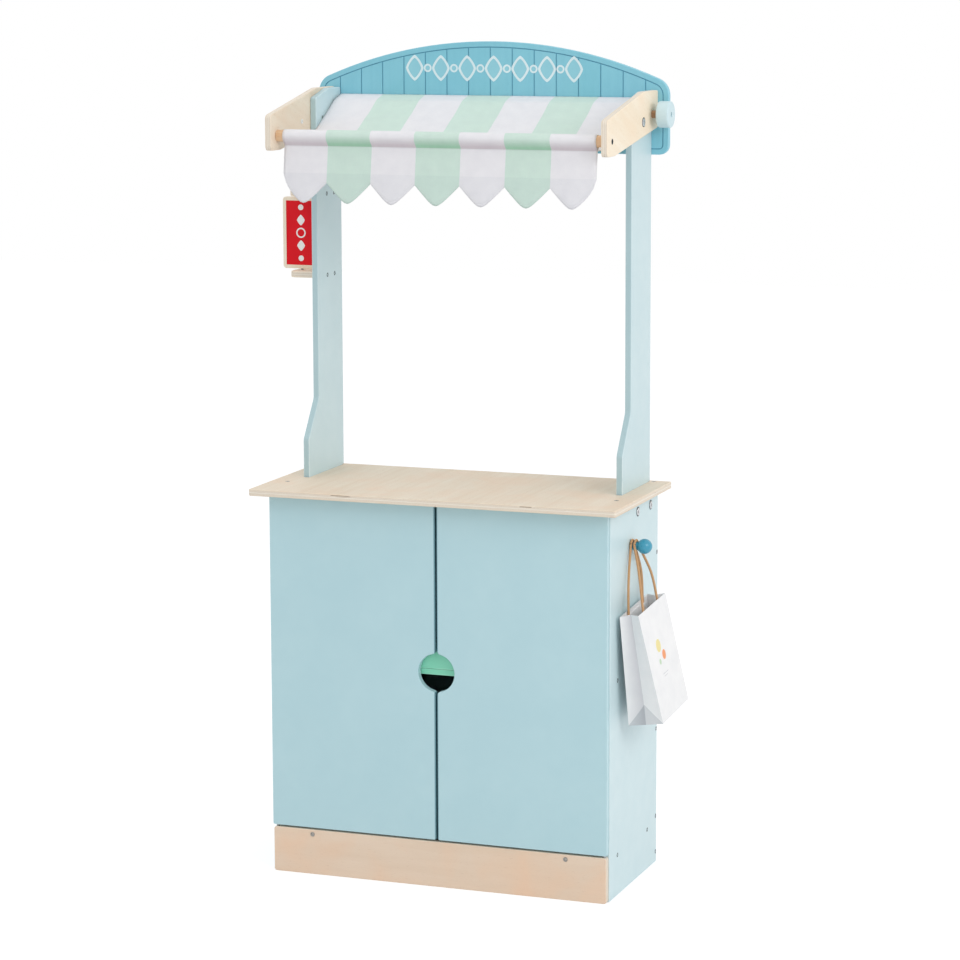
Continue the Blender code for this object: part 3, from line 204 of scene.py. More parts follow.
# Paper bag, in its own place: X out from the side panel, Y to the back, Z up, from the middle of its mouth
BAG_MOUTH = Vector((0.3003, 0.1012, 0.4485))
BAG_LEAN_BACK = 4.1
BAG_LEAN_OUT = 7.7
BAG_MOUTH_SIZE = (0.030, 0.140)
BAG_FOOT_SIZE = (0.056, 0.134)
BAG_HEIGHT = 0.172
BAG_PAPER = 0.0004
BAG_MOUTH_TUCK = 0.010
BAG_APEX_TUCK = 0.0055
BAG_TRIANGLE = 0.030
BAG_NARROW = 0.045
BAG_WIDE = 0.137
BAG_SOLID_WALL = 0.001
BAG_BULGE = 0.0012
BAG_UNEVEN = 0.0005
BAG_FOOT_RISE = 0.0012
BAG_FOOT_ROWS = 6
BAG_FOOT_ROW = 0.01
BAG_ROWS = 56
NARROW_COLUMNS = 20
WIDE_COLUMNS = 30
ROUND_END = 0.000001
BAG_SHARP = math.radians(24)
# Painted shade at the bag's foot: half width of the full crease line, and how far it and the triangles' shade
# fade in
CREASE_HALF, CREASE_REACH = 0.0002, 0.0008
LIP_TOP = 0.0002
LIP_DEPTH = 0.034
LIP_GAP = 0.00015
LIP_PAPER = 0.00032
LIP_ROWS = 8

# Print on the bag's flat paper: each spot's way along from the middle, height, radius and tone, and each
# line's height and half length
PRINT_MIDDLE = BAG_NARROW + 0.43 * BAG_WIDE
PRINT_SPOTS = (
    (-0.006, -0.062, 0.0105, (240, 226, 160)),
    (0.010, -0.080, 0.0080, (243, 160, 112)),
    (-0.012, -0.086, 0.0048, (196, 220, 190)),
)
PRINT_LINES = ((-0.106, 0.013), (-0.1105, 0.008))
PRINT_LINE_HALF = 0.0005

# Patches that hold the handles' ends in the bag, and where their rise over each end stops
PATCH_WIDTH = 0.094
PATCH_HEIGHT = 0.026
PATCH_TOP = 0.005
PATCH_GAP = 0.0007
PATCH_PAPER = 0.0003
PATCH_COLUMNS = 72
PATCH_ROWS = 10
PATCH_RISE_START, PATCH_RISE_END = 0.0018, 0.0052
CORD_END_START, CORD_END_END = 0.022, 0.027

# Handles, as their solids: the side of the bag, how far from the side panel each bears on the peg, and the
# middles of its two legs: a way to the back, a height over the peg and a share of the way out to the bearing
HANDLE_RADIUS = 0.0020
HANDLE_SPREAD = 0.036
HANDLE_IN_BAG = 0.022
HANDLE_TWIST = 0.0085
HANDLE_STRANDS = 3
HANDLE_GROOVE = 0.13
HANDLE_GIRTH = 0.0145
HANDLE_STEP = 0.0012
HANDLE_SIDES = 24
HANDLES = {
    "bag_handle_inner": (-1, 0.0030, ((-0.0300, -0.045, 0.5), (0.0330, -0.045, 0.5))),
    "bag_handle_outer": (1, 0.0087, ((-0.0250, -0.035, 0.5), (0.0330, -0.045, 0.45))),
}

# Distance under which a sheet's meeting points are one
WELD = 0.00002

# Half the floor's side, and the camera at the photograph's viewpoint
FLOOR_HALF = 9.0
LENS = 119.78
SHIFT_UP = -0.05
CAMERA_PLACE = Vector((1.7439, -4.5068, 1.438))
CAMERA_YAW, CAMERA_PITCH, CAMERA_ROLL = 20.36, 8.489, 0.177


def box(node):
    """Lowest and highest corner of a node."""
    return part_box(node)


def centre(node):
    """Middle of a node's box."""
    low, high = box(node)
    return (low + high) / 2


# Places that several pieces share, from the frame
ROD = centre("front_rod")
ROD_RADIUS = (box("front_rod")[1].z - box("front_rod")[0].z) / 2
AWNING_HALF = box("awning_cloth")[1].x
STRIPE_WIDTH = 2 * AWNING_HALF / STRIPE_COUNT
STRIP_LOW, STRIP_HIGH = box("awning_fastening_strip")
ROLLER = centre("roller_dowel")
ROLLER_RADIUS = (box("roller_dowel")[1].z - box("roller_dowel")[0].z) / 2
ROLL_RADIUS = (box("curtain_roll")[1].z - box("curtain_roll")[0].z) / 2
CURTAIN_HALF = box("curtain_roll")[1].x
HEM_BAR = centre("hem_bar")
HEM_BAR_RADIUS = (box("hem_bar")[1].z - box("hem_bar")[0].z) / 2
PEG = Vector((box("side_panel_right")[1].x, PEG_DEPTH, centre("peg").z))


def smooth_share(value, start, end):
    """0 before the start, 1 after the end, smooth between."""
    share = min(max((value - start) / (end - start), 0), 1)
    return share * share * (3 - 2 * share)


def tint(red, green, blue):
    """Linear colour of channels from 0 to 255."""
    def linear(channel):
        share = channel / 255
        return share / 12.92 if share <= 0.04045 else ((share + 0.055) / 1.055) ** 2.4
    return (linear(red), linear(green), linear(blue), 1)


def tints(tones):
    """Linear colours of tones by name."""
    return {word: tint(*tone) for word, tone in tones.items()}


class Graph:
    """Short ways to add nodes to a node tree."""

    def __init__(self, tree):
        self.tree = tree

    def put(self, socket, value):
        """Links an output to a socket, or sets the socket's own value."""
        if isinstance(value, bpy.types.NodeSocket):
            self.tree.links.new(value, socket)
        else:
            socket.default_value = value

    def node(self, kind, inputs=None, **settings):
        """A node with its settings, and inputs by name or number."""
        made = self.tree.nodes.new(kind)
        for word, value in settings.items():
            setattr(made, word, value)
        for socket, value in (inputs or {}).items():
            self.put(made.inputs[socket], value)
        return made

    def math(self, operation, first, second=0.0):
        """One number from one or two."""
        return self.node("ShaderNodeMath", {0: first, 1: second}, operation=operation).outputs[0]

    def vector(self, operation, first, second):
        """One vector from two."""
        return self.node("ShaderNodeVectorMath", {0: first, 1: second}, operation=operation).outputs[0]

    def length(self, value):
        """Length of a vector."""
        return self.node("ShaderNodeVectorMath", {0: value}, operation="LENGTH").outputs["Value"]

    def split(self, value):
        """X, Y and Z of a vector."""
        return self.node("ShaderNodeSeparateXYZ", {0: value}).outputs

    def join(self, x, y, z):
        """Vector from three numbers."""
        return self.node("ShaderNodeCombineXYZ", {0: x, 1: y, 2: z}).outputs[0]

    def mix(self, share, first, second, blend="MIX"):
        """Colour between two."""
        made = self.node("ShaderNodeMix", {0: share, 6: first, 7: second}, data_type="RGBA", blend_type=blend)
        return made.outputs[2]

    def blend(self, share, first, second):
        """Number between two."""
        return self.node("ShaderNodeMix", {0: share, 2: first, 3: second}, data_type="FLOAT").outputs[0]

    def remap(self, value, low, high, start=0.0, end=1.0):
        """A number moved from one range to another, and kept in it."""
        return self.node("ShaderNodeMapRange", {0: value, 1: low, 2: high, 3: start, 4: end}).outputs[0]

    def noise(self, place, scale, detail=2.0, distortion=0.0):
        """Soft noise from 0 to 1."""
        inputs = {"Vector": place, "Scale": scale, "Detail": detail, "Distortion": distortion}
        return self.node("ShaderNodeTexNoise", inputs).outputs["Fac"]

    def place(self):
        """Place on the piece, in metres."""
        return self.node("ShaderNodeTexCoord").outputs["Object"]

    def cloth(self):
        """Place on the flat cloth or paper, in metres."""
        return self.node("ShaderNodeUVMap", uv_map="flat").outputs[0]

    def bump(self, height, distance):
        """Normal of a surface with this height."""
        return self.node("ShaderNodeBump", {"Height": height, "Distance": distance}).outputs[0]

    def use(self, tree, **inputs):
        """Outputs of a shared effect, whose input names have _ for a space here."""
        made = self.node("ShaderNodeGroup", node_tree=tree)
        for word, value in inputs.items():
            self.put(made.inputs[word.replace("_", " ")], value)
        return made.outputs


SOCKETS = {"number": "NodeSocketFloat", "vector": "NodeSocketVector", "colour": "NodeSocketColor"}


def effect(name, inputs, outputs, build):
    """Shared effect: a shader node group with named inputs and outputs."""
    tree = bpy.data.node_groups.new(name, "ShaderNodeTree")
    for word, (kind, value) in inputs.items():
        socket = tree.interface.new_socket(name=word, in_out="INPUT", socket_type=SOCKETS[kind])
        if value is not None:
            socket.default_value = value
    for word, kind in outputs.items():
        tree.interface.new_socket(name=word, in_out="OUTPUT", socket_type=SOCKETS[kind])
    graph = Graph(tree)
    given = graph.node("NodeGroupInput").outputs
    made = graph.node("NodeGroupOutput")
    for word, value in build(graph, given).items():
        graph.put(made.inputs[word], value)
    return tree


def edge_rub_effect():
    """Where a board's box has its edges: 1 on them, 0 away from them, broken up as by handling."""
    def build(g, given):
        to_low = g.split(g.vector("SUBTRACT", given["Coordinates"], given["Low"]))
        to_high = g.split(g.vector("SUBTRACT", given["High"], given["Coordinates"]))
        x, y, z = (g.math("MAXIMUM", g.math("MINIMUM", to_low[i], to_high[i]), 0) for i in range(3))
        second = g.math("MAXIMUM", g.math("MINIMUM", x, y), g.math("MINIMUM", g.math("MAXIMUM", x, y), z))
        ragged = g.noise(given["Coordinates"], given["Breakup"], 3)
        reach = g.math("MULTIPLY", given["Width"], g.remap(ragged, 0.3, 0.7, 0.2, 1.6))
        return {"Mask": g.remap(g.math("DIVIDE", second, reach), 0.4, 1, 1, 0)}
    return effect("edge_rub", {
        "Coordinates": ("vector", None), "Low": ("vector", None), "High": ("vector", None),
        "Width": ("number", 0.001), "Breakup": ("number", 60),
    }, {"Mask": "number"}, build)


def paint_effect():
    """Sprayed satin paint: faint mottling, a fine orange peel, and paler edges where it is rubbed."""
    def build(g, given):
        place = given["Coordinates"]
        mottle = g.noise(place, 9, 3)
        clouds = g.noise(place, 45, 2)
        peel = g.noise(place, given["Peel"], 2)
        tone = g.mix(g.remap(mottle, 0.35, 0.65, 0, 0.55), given["Colour"], given["Shade"])
        tone = g.mix(g.remap(clouds, 0.4, 0.7, 0, 0.25), tone, given["Shade"])
        tone = g.mix(g.math("MULTIPLY", given["Rub"], 0.6), tone, given["Rubbed"])
        rough = g.math("ADD", given["Roughness"], g.remap(clouds, 0.3, 0.7, -0.04, 0.06))
        height = g.math("ADD", peel, g.math("MULTIPLY", mottle, 0.5))
        return {"Colour": tone, "Roughness": rough, "Height": height}
    return effect("satin_paint", {
        "Coordinates": ("vector", None), "Colour": ("colour", None), "Shade": ("colour", None),
        "Rubbed": ("colour", None), "Rub": ("number", 0), "Peel": ("number", 900),
        "Roughness": ("number", 0.45),
    }, {"Colour": "colour", "Roughness": "number", "Height": "number"}, build)


def veneer_effect():
    """Pale veneer whose grain runs along X: broad bands, fibres, short pores and warm blotches."""
    def build(g, given):
        place = given["Coordinates"]
        run = g.vector("MULTIPLY", place, g.join(given["Along"], given["Across"], given["Across"]))
        bands = g.noise(run, 0.28, 3, 0.8)
        fibres = g.noise(run, 2.2, 4, 0.3)
        hair = g.noise(g.vector("MULTIPLY", place, (60, 2600, 2600)), 1, 2)
        pores = g.noise(g.vector("MULTIPLY", place, (110, 1500, 1500)), 1, 1)
        blotch = g.noise(place, 11, 2, 0.5)
        share = g.math("ADD", g.math("MULTIPLY", bands, 0.65), g.math("MULTIPLY", fibres, 0.35))
        tone = g.mix(g.remap(share, 0.34, 0.66), given["Light"], given["Dark"])
        tone = g.mix(g.remap(blotch, 0.45, 0.75, 0, given["Blotches"]), tone, given["Warm"])
        tone = g.mix(g.remap(hair, 0.35, 0.75, 0, 0.22), tone, given["Dark"])
        fleck = g.math("MULTIPLY", g.remap(pores, 0.66, 0.74), given["Pores"])
        tone = g.mix(fleck, tone, given["Pore"])
        height = g.math("SUBTRACT", g.math("MULTIPLY", hair, 0.6), fleck)
        return {"Colour": tone, "Height": height, "Roughness": g.remap(share, 0.3, 0.7, 0.5, 0.62)}
    return effect("veneer", {
        "Coordinates": ("vector", None), "Light": ("colour", None), "Dark": ("colour", None),
        "Warm": ("colour", None), "Pore": ("colour", None), "Along": ("number", 3), "Across": ("number", 60),
        "Blotches": ("number", 0.4), "Pores": ("number", 0.4),
    }, {"Colour": "colour", "Height": "number", "Roughness": "number"}, build)


def ply_effect():
    """Layers of a board's edge, from the share of the way through its thickness."""
    def build(g, given):
        wander = g.noise(given["Coordinates"], 26, 1)
        place = g.math("ADD", given["Through"], g.remap(wander, 0, 1, -0.012, 0.012))
        layer = g.math("MULTIPLY", place, given["Layers"])
        odd = g.math("MODULO", g.math("FLOOR", layer), 2)
        to_line = g.math("PINGPONG", layer, 0.5)
        line = g.remap(to_line, 0.02, 0.08, 1, 0)
        run = g.vector("MULTIPLY", given["Coordinates"], (70, 70, 1400))
        streak = g.noise(run, 1, 2)
        speck = g.noise(given["Coordinates"], 900, 2)
        tone = g.mix(odd, given["Long"], given["End"])
        tone = g.mix(g.remap(g.blend(odd, streak, speck), 0.35, 0.75, 0, 0.28), tone, given["Glue"])
        tone = g.mix(g.math("MULTIPLY", line, 0.42), tone, given["Glue"])
        gap = g.noise(g.vector("MULTIPLY", given["Coordinates"], (17, 17, 260)), 1, 0)
        void = g.math("MULTIPLY", g.remap(gap, 0.79, 0.81), g.remap(to_line, 0.15, 0.3, 1, 0))
        tone = g.mix(void, tone, given["Void"])
        rim = g.math("MINIMUM", given["Through"], g.math("SUBTRACT", 1, given["Through"]))
        inside = g.remap(g.math("MULTIPLY", rim, given["Layers"]), 0.75, 0.95)
        height = g.math("SUBTRACT", g.math("MULTIPLY", speck, 0.3), g.math("ADD", line, void))
        return {"Colour": tone, "Inside": inside, "Height": height}
    return effect("ply_edge", {
        "Coordinates": ("vector", None), "Through": ("number", 0), "Layers": ("number", 7),
        "Long": ("colour", None), "End": ("colour", None), "Glue": ("colour", None), "Void": ("colour", None),
    }, {"Colour": "colour", "Inside": "number", "Height": "number"}, build)


def weave_effect():
    """Plain weave on flat cloth: over and under threads, with slubs and uneven threads."""
    def build(g, given):
        run = g.vector("MULTIPLY", given["Cloth"], g.join(given["Threads"], given["Threads"], 0))
        u, v, _ = g.split(run)
        odd = g.math("MODULO", g.math("ADD", g.math("FLOOR", u), g.math("FLOOR", v)), 2)
        odd = g.math("ABSOLUTE", odd)
        warp = g.math("SINE", g.math("MULTIPLY", g.math("FRACT", u), math.pi))
        weft = g.math("SINE", g.math("MULTIPLY", g.math("FRACT", v), math.pi))
        height = g.blend(odd, g.math("MULTIPLY", warp, 0.9), weft)
        slub_u = g.noise(g.vector("MULTIPLY", given["Cloth"], (1400, 30, 0)), 1, 2)
        slub_v = g.noise(g.vector("MULTIPLY", given["Cloth"], (30, 1400, 0)), 1, 2)
        uneven = g.blend(odd, slub_u, slub_v)
        # Gap is 1 between the threads, where the cloth's colour takes painted shade
        return {"Height": height, "Uneven": uneven, "Gap": g.remap(height, 0.05, 0.5, 1, 0)}
    return effect("plain_weave", {"Cloth": ("vector", None), "Threads": ("number", 1400)},
                  {"Height": "number", "Uneven": "number", "Gap": "number"}, build)


def paper_effect():
    """Smooth white paper: fine fibres, soft handling dents and a faint unevenness."""
    def build(g, given):
        dents = g.noise(given["Coordinates"], 38, 3, 0.4)
        fibres = g.noise(given["Coordinates"], 1700, 3)
        tone = g.mix(g.remap(dents, 0.3, 0.75, 0, 0.5), given["Colour"], given["Shade"])
        tone = g.mix(g.remap(fibres, 0.4, 0.8, 0, 0.25), tone, given["Shade"])
        return {"Colour": tone, "Height": g.math("ADD", dents, g.math("MULTIPLY", fibres, 0.12))}
    return effect("paper", {
        "Coordinates": ("vector", None), "Colour": ("colour", None), "Shade": ("colour", None),
    }, {"Colour": "colour", "Height": "number"}, build)


def disc_effect():
    """A round printed spot on flat paper, with a slightly uneven rim."""
    def build(g, given):
        away = g.vector("SUBTRACT", given["Place"], given["Middle"])
        x, y, _ = g.split(away)
        reach = g.length(g.join(x, y, 0))
        ragged = g.math("MULTIPLY", g.noise(given["Place"], 700, 2), 0.0006)
        share = g.math("DIVIDE", g.math("ADD", reach, ragged), given["Radius"])
        return {"Mask": g.remap(share, 0.96, 1.04, 1, 0)}
    return effect("printed_disc", {
        "Place": ("vector", None), "Middle": ("vector", None), "Radius": ("number", 0.008),
    }, {"Mask": "number"}, build)


EDGE_RUB = edge_rub_effect()
PAINT = paint_effect()
VENEER = veneer_effect()
PLY = ply_effect()
WEAVE = weave_effect()
PAPER = paper_effect()
DISC = disc_effect()


def finish(name, build):
    """A material whose shader inputs come from build, as a dict of input name to value or output."""
    made = bpy.data.materials.new(name)
    made.use_nodes = True
    graph = Graph(made.node_tree)
    shader = made.node_tree.nodes["Principled BSDF"]
    for word, value in build(graph).items():
        graph.put(shader.inputs[word], value)
    return made


def painted(name, node, colour, shade, rubbed, roughness=0.42, rub=0.0016, seam=None, rim=None):
    """Satin paint on one board, a little paler along that board's edges.

    seam is a place in X with a dark edge of painted shade, and rim tints the narrow sides of a board that
    faces X.
    """
    low, high = box(node)

    def build(g):
        place = g.place()
        edge = g.use(EDGE_RUB, Coordinates=place, Low=tuple(low), High=tuple(high), Width=rub)
        film = g.use(
            PAINT, Coordinates=place, Colour=tint(*colour), Shade=tint(*shade), Rubbed=tint(*rubbed),
            Rub=edge["Mask"], Roughness=roughness,
        )
        tone = film["Colour"]
        # Painted shade in the gap where the doors meet
        if seam is not None:
            away = g.math("ABSOLUTE", g.math("SUBTRACT", g.split(place)[0], seam))
            tone = g.mix(g.remap(away, DOOR_SEAM_SHADE * 0.5, DOOR_SEAM_SHADE, 0.85, 0), tone, tint(74, 128, 140))
        if rim is not None:
            x = g.split(place)[0]
            inside = g.math("MINIMUM", g.math("SUBTRACT", x, low.x), g.math("SUBTRACT", high.x, x))
            tone = g.mix(g.remap(inside, RIM_START, RIM_FULL), tone, tint(*rim), "MULTIPLY")
        return {
            "Base Color": tone, "Roughness": film["Roughness"],
            "Normal": g.bump(film["Height"], 0.00006),
            "Coat Weight": 0.12, "Coat Roughness": 0.3,
        }
    return finish(name, build)


def plywood(
    name, node, axis, turn=(0, 0, 0), veneer=CREAM_VENEER, layers=7, along=3, across=60, blotches=0.4,
):
    """Bare plywood: veneer on the two faces across the axis, and layers on the edges. turn sets the grain."""
    low, high = box(node)
    number = "XYZ".index(axis)

    def build(g):
        place = g.place()
        turned = g.node("ShaderNodeMapping", {"Vector": place, "Rotation": [math.radians(a) for a in turn]})
        face = g.use(
            VENEER, Coordinates=turned.outputs[0], Along=along, Across=across, Blotches=blotches,
            **tints(veneer),
        )
        through = g.remap(g.split(place)[number], low[number], high[number])
        rim = place
        if axis != "Z":
            x, y, z = g.split(place)
            rim = g.join(z, y, x) if axis == "X" else g.join(x, z, y)
        edge = g.use(PLY, Coordinates=rim, Through=through, Layers=layers, **tints(PLY_EDGE))
        rub = g.use(EDGE_RUB, Coordinates=place, Low=tuple(low), High=tuple(high), Width=0.0012)
        colour = g.mix(edge["Inside"], face["Colour"], edge["Colour"])
        colour = g.mix(g.math("MULTIPLY", rub["Mask"], 0.35), colour, tint(247, 236, 216))
        height = g.blend(edge["Inside"], face["Height"], edge["Height"])
        return {
            "Base Color": colour, "Roughness": face["Roughness"], "Normal": g.bump(height, 0.00008),
            "Specular IOR Level": 0.3,
        }
    return finish(name, build)


def dowel_wood(name, light, dark):
    """Turned beech along X, with small flecks."""
    def build(g):
        place = g.place()
        wood = g.use(
            VENEER, Coordinates=place, Light=tint(*light), Dark=tint(*dark), Warm=tint(226, 178, 132),
            Pore=tint(150, 104, 66), Along=9.0, Across=420.0, Blotches=0.5, Pores=0.8,
        )
        return {"Base Color": wood["Colour"], "Roughness": 0.5, "Normal": g.bump(wood["Height"], 0.0001)}
    return finish(name, build)


def spotted(g, colour, darkest):
    """Faint spots on steel, and the colour with them."""
    spots = g.noise(g.place(), 900, 3)
    return spots, g.mix(g.remap(spots, 0.35, 0.7), tint(*colour), tint(*(darkest * c for c in colour)))


def metal(name, colour, roughness):
    """Plated steel with faint spots."""
    def build(g):
        spots, tone = spotted(g, colour, 0.72)
        rough = g.remap(spots, 0.3, 0.7, roughness * 0.7, roughness * 1.4)
        return {"Base Color": tone, "Metallic": 1.0, "Roughness": rough, "Normal": g.bump(spots, 0.00002)}
    return finish(name, build)


def blackened(name, colour):
    """Blackened steel: matt, with faint spots."""
    def build(g):
        spots, tone = spotted(g, colour, 0.8)
        fine = g.bump(spots, 0.00002)
        return {"Base Color": tone, "Roughness": 0.6, "Specular IOR Level": 0.15, "Normal": fine}
    return finish(name, build)


def fabric(name, build_colour, threads=1500.0):
    """Cotton cloth: a plain weave under a colour that build_colour gives from the flat cloth."""
    def build(g):
        cloth = g.cloth()
        weave = g.use(WEAVE, Cloth=cloth, Threads=threads)
        colour = build_colour(g, cloth)
        # Painted shade in the gaps between threads
        colour = g.mix(g.math("MULTIPLY", weave["Gap"], 0.16), colour, tint(120, 130, 130), "MULTIPLY")
        soft = g.noise(cloth, 55, 3)
        colour = g.mix(g.remap(weave["Uneven"], 0.4, 0.75, 0, 0.12), colour, tint(255, 255, 255))
        colour = g.mix(g.remap(soft, 0.35, 0.75, 0, 0.1), colour, tint(196, 196, 208), "MULTIPLY")
        height = g.math("ADD", g.math("MULTIPLY", weave["Height"], 0.5), g.math("MULTIPLY", soft, 1.2))
        return {
            "Base Color": colour, "Roughness": 0.88, "Normal": g.bump(height, 0.00022),
            "Sheen Weight": 0.25, "Sheen Roughness": 0.6,
        }
    return finish(name, build)


def striped(g, cloth):
    """White and mint stripes across the awning, darker round the rod (wood showing through, and painted
    shade), and painted shade on the tongues' doubled ends.
    """
    u, v, _ = g.split(cloth)
    ragged = g.math("MULTIPLY", g.math("SUBTRACT", g.noise(cloth, 900, 2), 0.5), 0.0007)
    stripe = g.math("DIVIDE", g.math("ADD", u, ragged), STRIPE_WIDTH)
    odd = g.math("MODULO", g.math("FLOOR", stripe), 2)
    colour = g.mix(odd, tint(242, 241, 245), tint(211, 235, 223))
    # Painted shade on the tunnel's lower half round the rod, together with the wood showing through the cloth
    # there
    darker = g.remap(v, SEAM_PLACE - ROD_FRONT_RUN, SEAM_PLACE - ROD_UNDER_RUN)
    ending = g.remap(v, SEAM_PLACE, SEAM_PLACE + SEAM_SOFT, 1, 0)
    rod_wood_and_shade_tone = g.mix(odd, tint(226, 216, 219), tint(194, 226, 204))
    colour = g.mix(g.math("MULTIPLY", darker, ending), colour, rod_wood_and_shade_tone, "MULTIPLY")
    # Painted shade on the tongues' doubled ends, below the facing's edge
    facing = g.remap(v, FACING_SHADE_PLACE - FACING_SHADE_SOFT, FACING_SHADE_PLACE + FACING_SHADE_SOFT, 0, 0.16)
    return g.mix(facing, colour, tint(214, 220, 226), "MULTIPLY")


def plain_mint(g, cloth):
    """Mint curtain cloth with a hem line along each side."""
    u, _, _ = g.split(cloth)
    inset = g.math("MINIMUM", u, g.math("SUBTRACT", 2 * CURTAIN_HALF, u))
    hem = g.remap(inset, CURTAIN_HEM - CURTAIN_HEM_SOFT, CURTAIN_HEM + CURTAIN_HEM_SOFT, 0.3, 0)
    return g.mix(hem, tint(204, 230, 216), tint(206, 224, 216), "MULTIPLY")


def new_object(name, mesh):
    """An object at the origin with this mesh."""
    made = bpy.data.objects.new(name, mesh)
    bpy.context.scene.collection.objects.link(made)
    return made


def object_from(name, work):
    """An object at the origin from a bmesh, with its faces pointing outwards."""
    bmesh.ops.recalc_face_normals(work, faces=work.faces)
    mesh = bpy.data.meshes.new(name)
    work.to_mesh(mesh)
    work.free()
    return new_object(name, mesh)


def dressed(piece, material):
    """Gives a piece its material and smooth shading."""
    piece.data.materials.append(material)
    piece.data.shade_smooth()
    return piece


def grid(name, columns, rows, corner, material):
    """Sheet of quads: corner(column, row) gives a corner's place and its place on the flat cloth."""
    corners = [[corner(column, row) for row in range(rows + 1)] for column in range(columns + 1)]
    verts = [tuple(place) for line in corners for place, _ in line]
    flat = [where for line in corners for _, where in line]
    faces = []
    for column in range(columns):
        for row in range(rows):
            start = column * (rows + 1) + row
            faces.append((start, start + 1, start + rows + 2, start + rows + 1))
    mesh = bpy.data.meshes.new(name)
    mesh.from_pydata(verts, [], faces)
    layer = mesh.uv_layers.new(name="flat")
    for loop, spot in zip(mesh.loops, layer.data):
        spot.uv = flat[loop.vertex_index]
    return dressed(new_object(name, mesh), material)


def thicken(piece, thickness, offset=0.0):
    """Gives a sheet its thickness."""
    wall = piece.modifiers.new("thickness", "SOLIDIFY")
    wall.thickness = thickness
    wall.offset = offset
    wall.use_quality_normals = True
    return plain(piece)


def plain(piece):
    """The piece as it is evaluated, as one plain mesh without modifiers."""
    graph = bpy.context.evaluated_depsgraph_get()
    mesh = bpy.data.meshes.new_from_object(piece.evaluated_get(graph), depsgraph=graph)
    name = piece.name
    bpy.data.objects.remove(piece)
    return new_object(name, mesh)


def round_outline(middle, radius, start, end, steps):
    """Points along an arc, with angles in degrees."""
    turns = [math.radians(start + (end - start) * step / steps) for step in range(steps + 1)]
    return [(middle[0] + radius * math.cos(turn), middle[1] + radius * math.sin(turn)) for turn in turns]


def lathe(name, profile, foot, direction, material, steps=64, smooth_angle=40):
    """Turned piece: (radius, height) points run from its top to its foot, with heights along direction."""
    work = bmesh.new()
    spin = Vector(direction).to_track_quat("Z", "Y").to_matrix()
    rings = []
    for radius, height in profile:
        if radius < 1e-7:
            rings.append([work.verts.new(Vector(foot) + spin @ Vector((0, 0, height)))])
            continue
        turns = [2 * math.pi * step / steps for step in range(steps)]
        rings.append([
            work.verts.new(Vector(foot) + spin @ Vector((radius * math.cos(a), radius * math.sin(a), height)))
            for a in turns
        ])
    for upper, lower in zip(rings, rings[1:]):
        for step in range(steps):
            after = (step + 1) % steps
            loop = [upper[step % len(upper)], lower[step % len(lower)], lower[after % len(lower)],
                    upper[after % len(upper)]]
            corners = list(dict.fromkeys(loop))
            if len(corners) > 2:
                work.faces.new(corners)
    piece = dressed(object_from(name, work), material)
    piece.data.set_sharp_from_angle(angle=math.radians(smooth_angle))
    return piece


def catmull(points, spacing):
    """Points of a smooth curve through the given points, about one every spacing."""
    given = [Vector(point) for point in points]
    ends = [given[0] * 2 - given[1], *given, given[-1] * 2 - given[-2]]
    route = [given[0]]
    for before, start, end, after in zip(ends, ends[1:], ends[2:], ends[3:]):
        steps = max(1, round((end - start).length / spacing))
        for step in range(1, steps + 1):
            t = step / steps
            route.append(0.5 * (
                2 * start + (end - before) * t + (2 * before - 5 * start + 4 * end - after) * t ** 2
                + (3 * start - before - 3 * end + after) * t ** 3
            ))
    return route


def dress(node, material):
    """Gives a node of the frame its material."""
    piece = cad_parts[node]
    piece.data.materials.clear()
    piece.data.materials.append(material)


def awning_profile():
    """Side view of the awning from its rear hem to the seam under the rod, as (y, z, share of the roof)."""
    fold = Vector((STRIP_LOW.y - GAP - AWNING_CLOTH / 2, STRIP_HIGH.z))
    seam_z = ROD.z - SEAM_DROP
    seam = Vector((ROD.y + ROOF_END[0], seam_z + ROOF_END[1]))
    points = [fold]
    for share, sag in ROOF_SAG:
        point = fold.lerp(seam, share)
        points.append(Vector((point.x, point.y - sag)))
    points.append(seam)
    line = [(fold.x, fold.y - REAR_HEM * (1 - step / REAR_HEM_ROWS), 0) for step in range(REAR_HEM_ROWS)]
    run = fold.x - seam.x
    line += [(point.x, point.y, (fold.x - point.x) / run) for point in catmull(points, ROOF_ROW)]
    line += [(ROD.y + SEAM_HALF + behind, seam_z + over, None) for behind, over in SEAM_TURN]
    radius = ROD_RADIUS + GAP + AWNING_CLOTH / 2
    lean = math.degrees(math.acos(radius / math.hypot(SEAM_HALF, SEAM_DROP)))
    loop = round_outline((ROD.y, ROD.z), radius, -90 + lean, 270 - lean, TUNNEL_STEPS)
    line += [(y, z, None) for y, z in loop]
    line.append((ROD.y - SEAM_HALF, seam_z + SEAM_FRONT_RISE, None))
    return line


def roof_fold(x, share):
    """How much lower the roof lies than its side view, by its folds and its free side edges."""
    free = smooth_share(share, 0.22, 0.45) * (1 - smooth_share(share, 0.86, 1))
    long = ROOF_LONG_FOLD * noise.noise((x * 15, share * 1.3, 3.1))
    short = ROOF_SHORT_FOLD * noise.noise((x * 42, share * 5, 8.7))
    edge = ROOF_EDGE_SAG * smooth_share(abs(x) / AWNING_HALF, 0.7, 1)
    over_roll = ROOF_OVER_ROLL * math.exp(-((share - 0.13) / 0.03) ** 2)
    return free * (long + short + edge) - over_roll


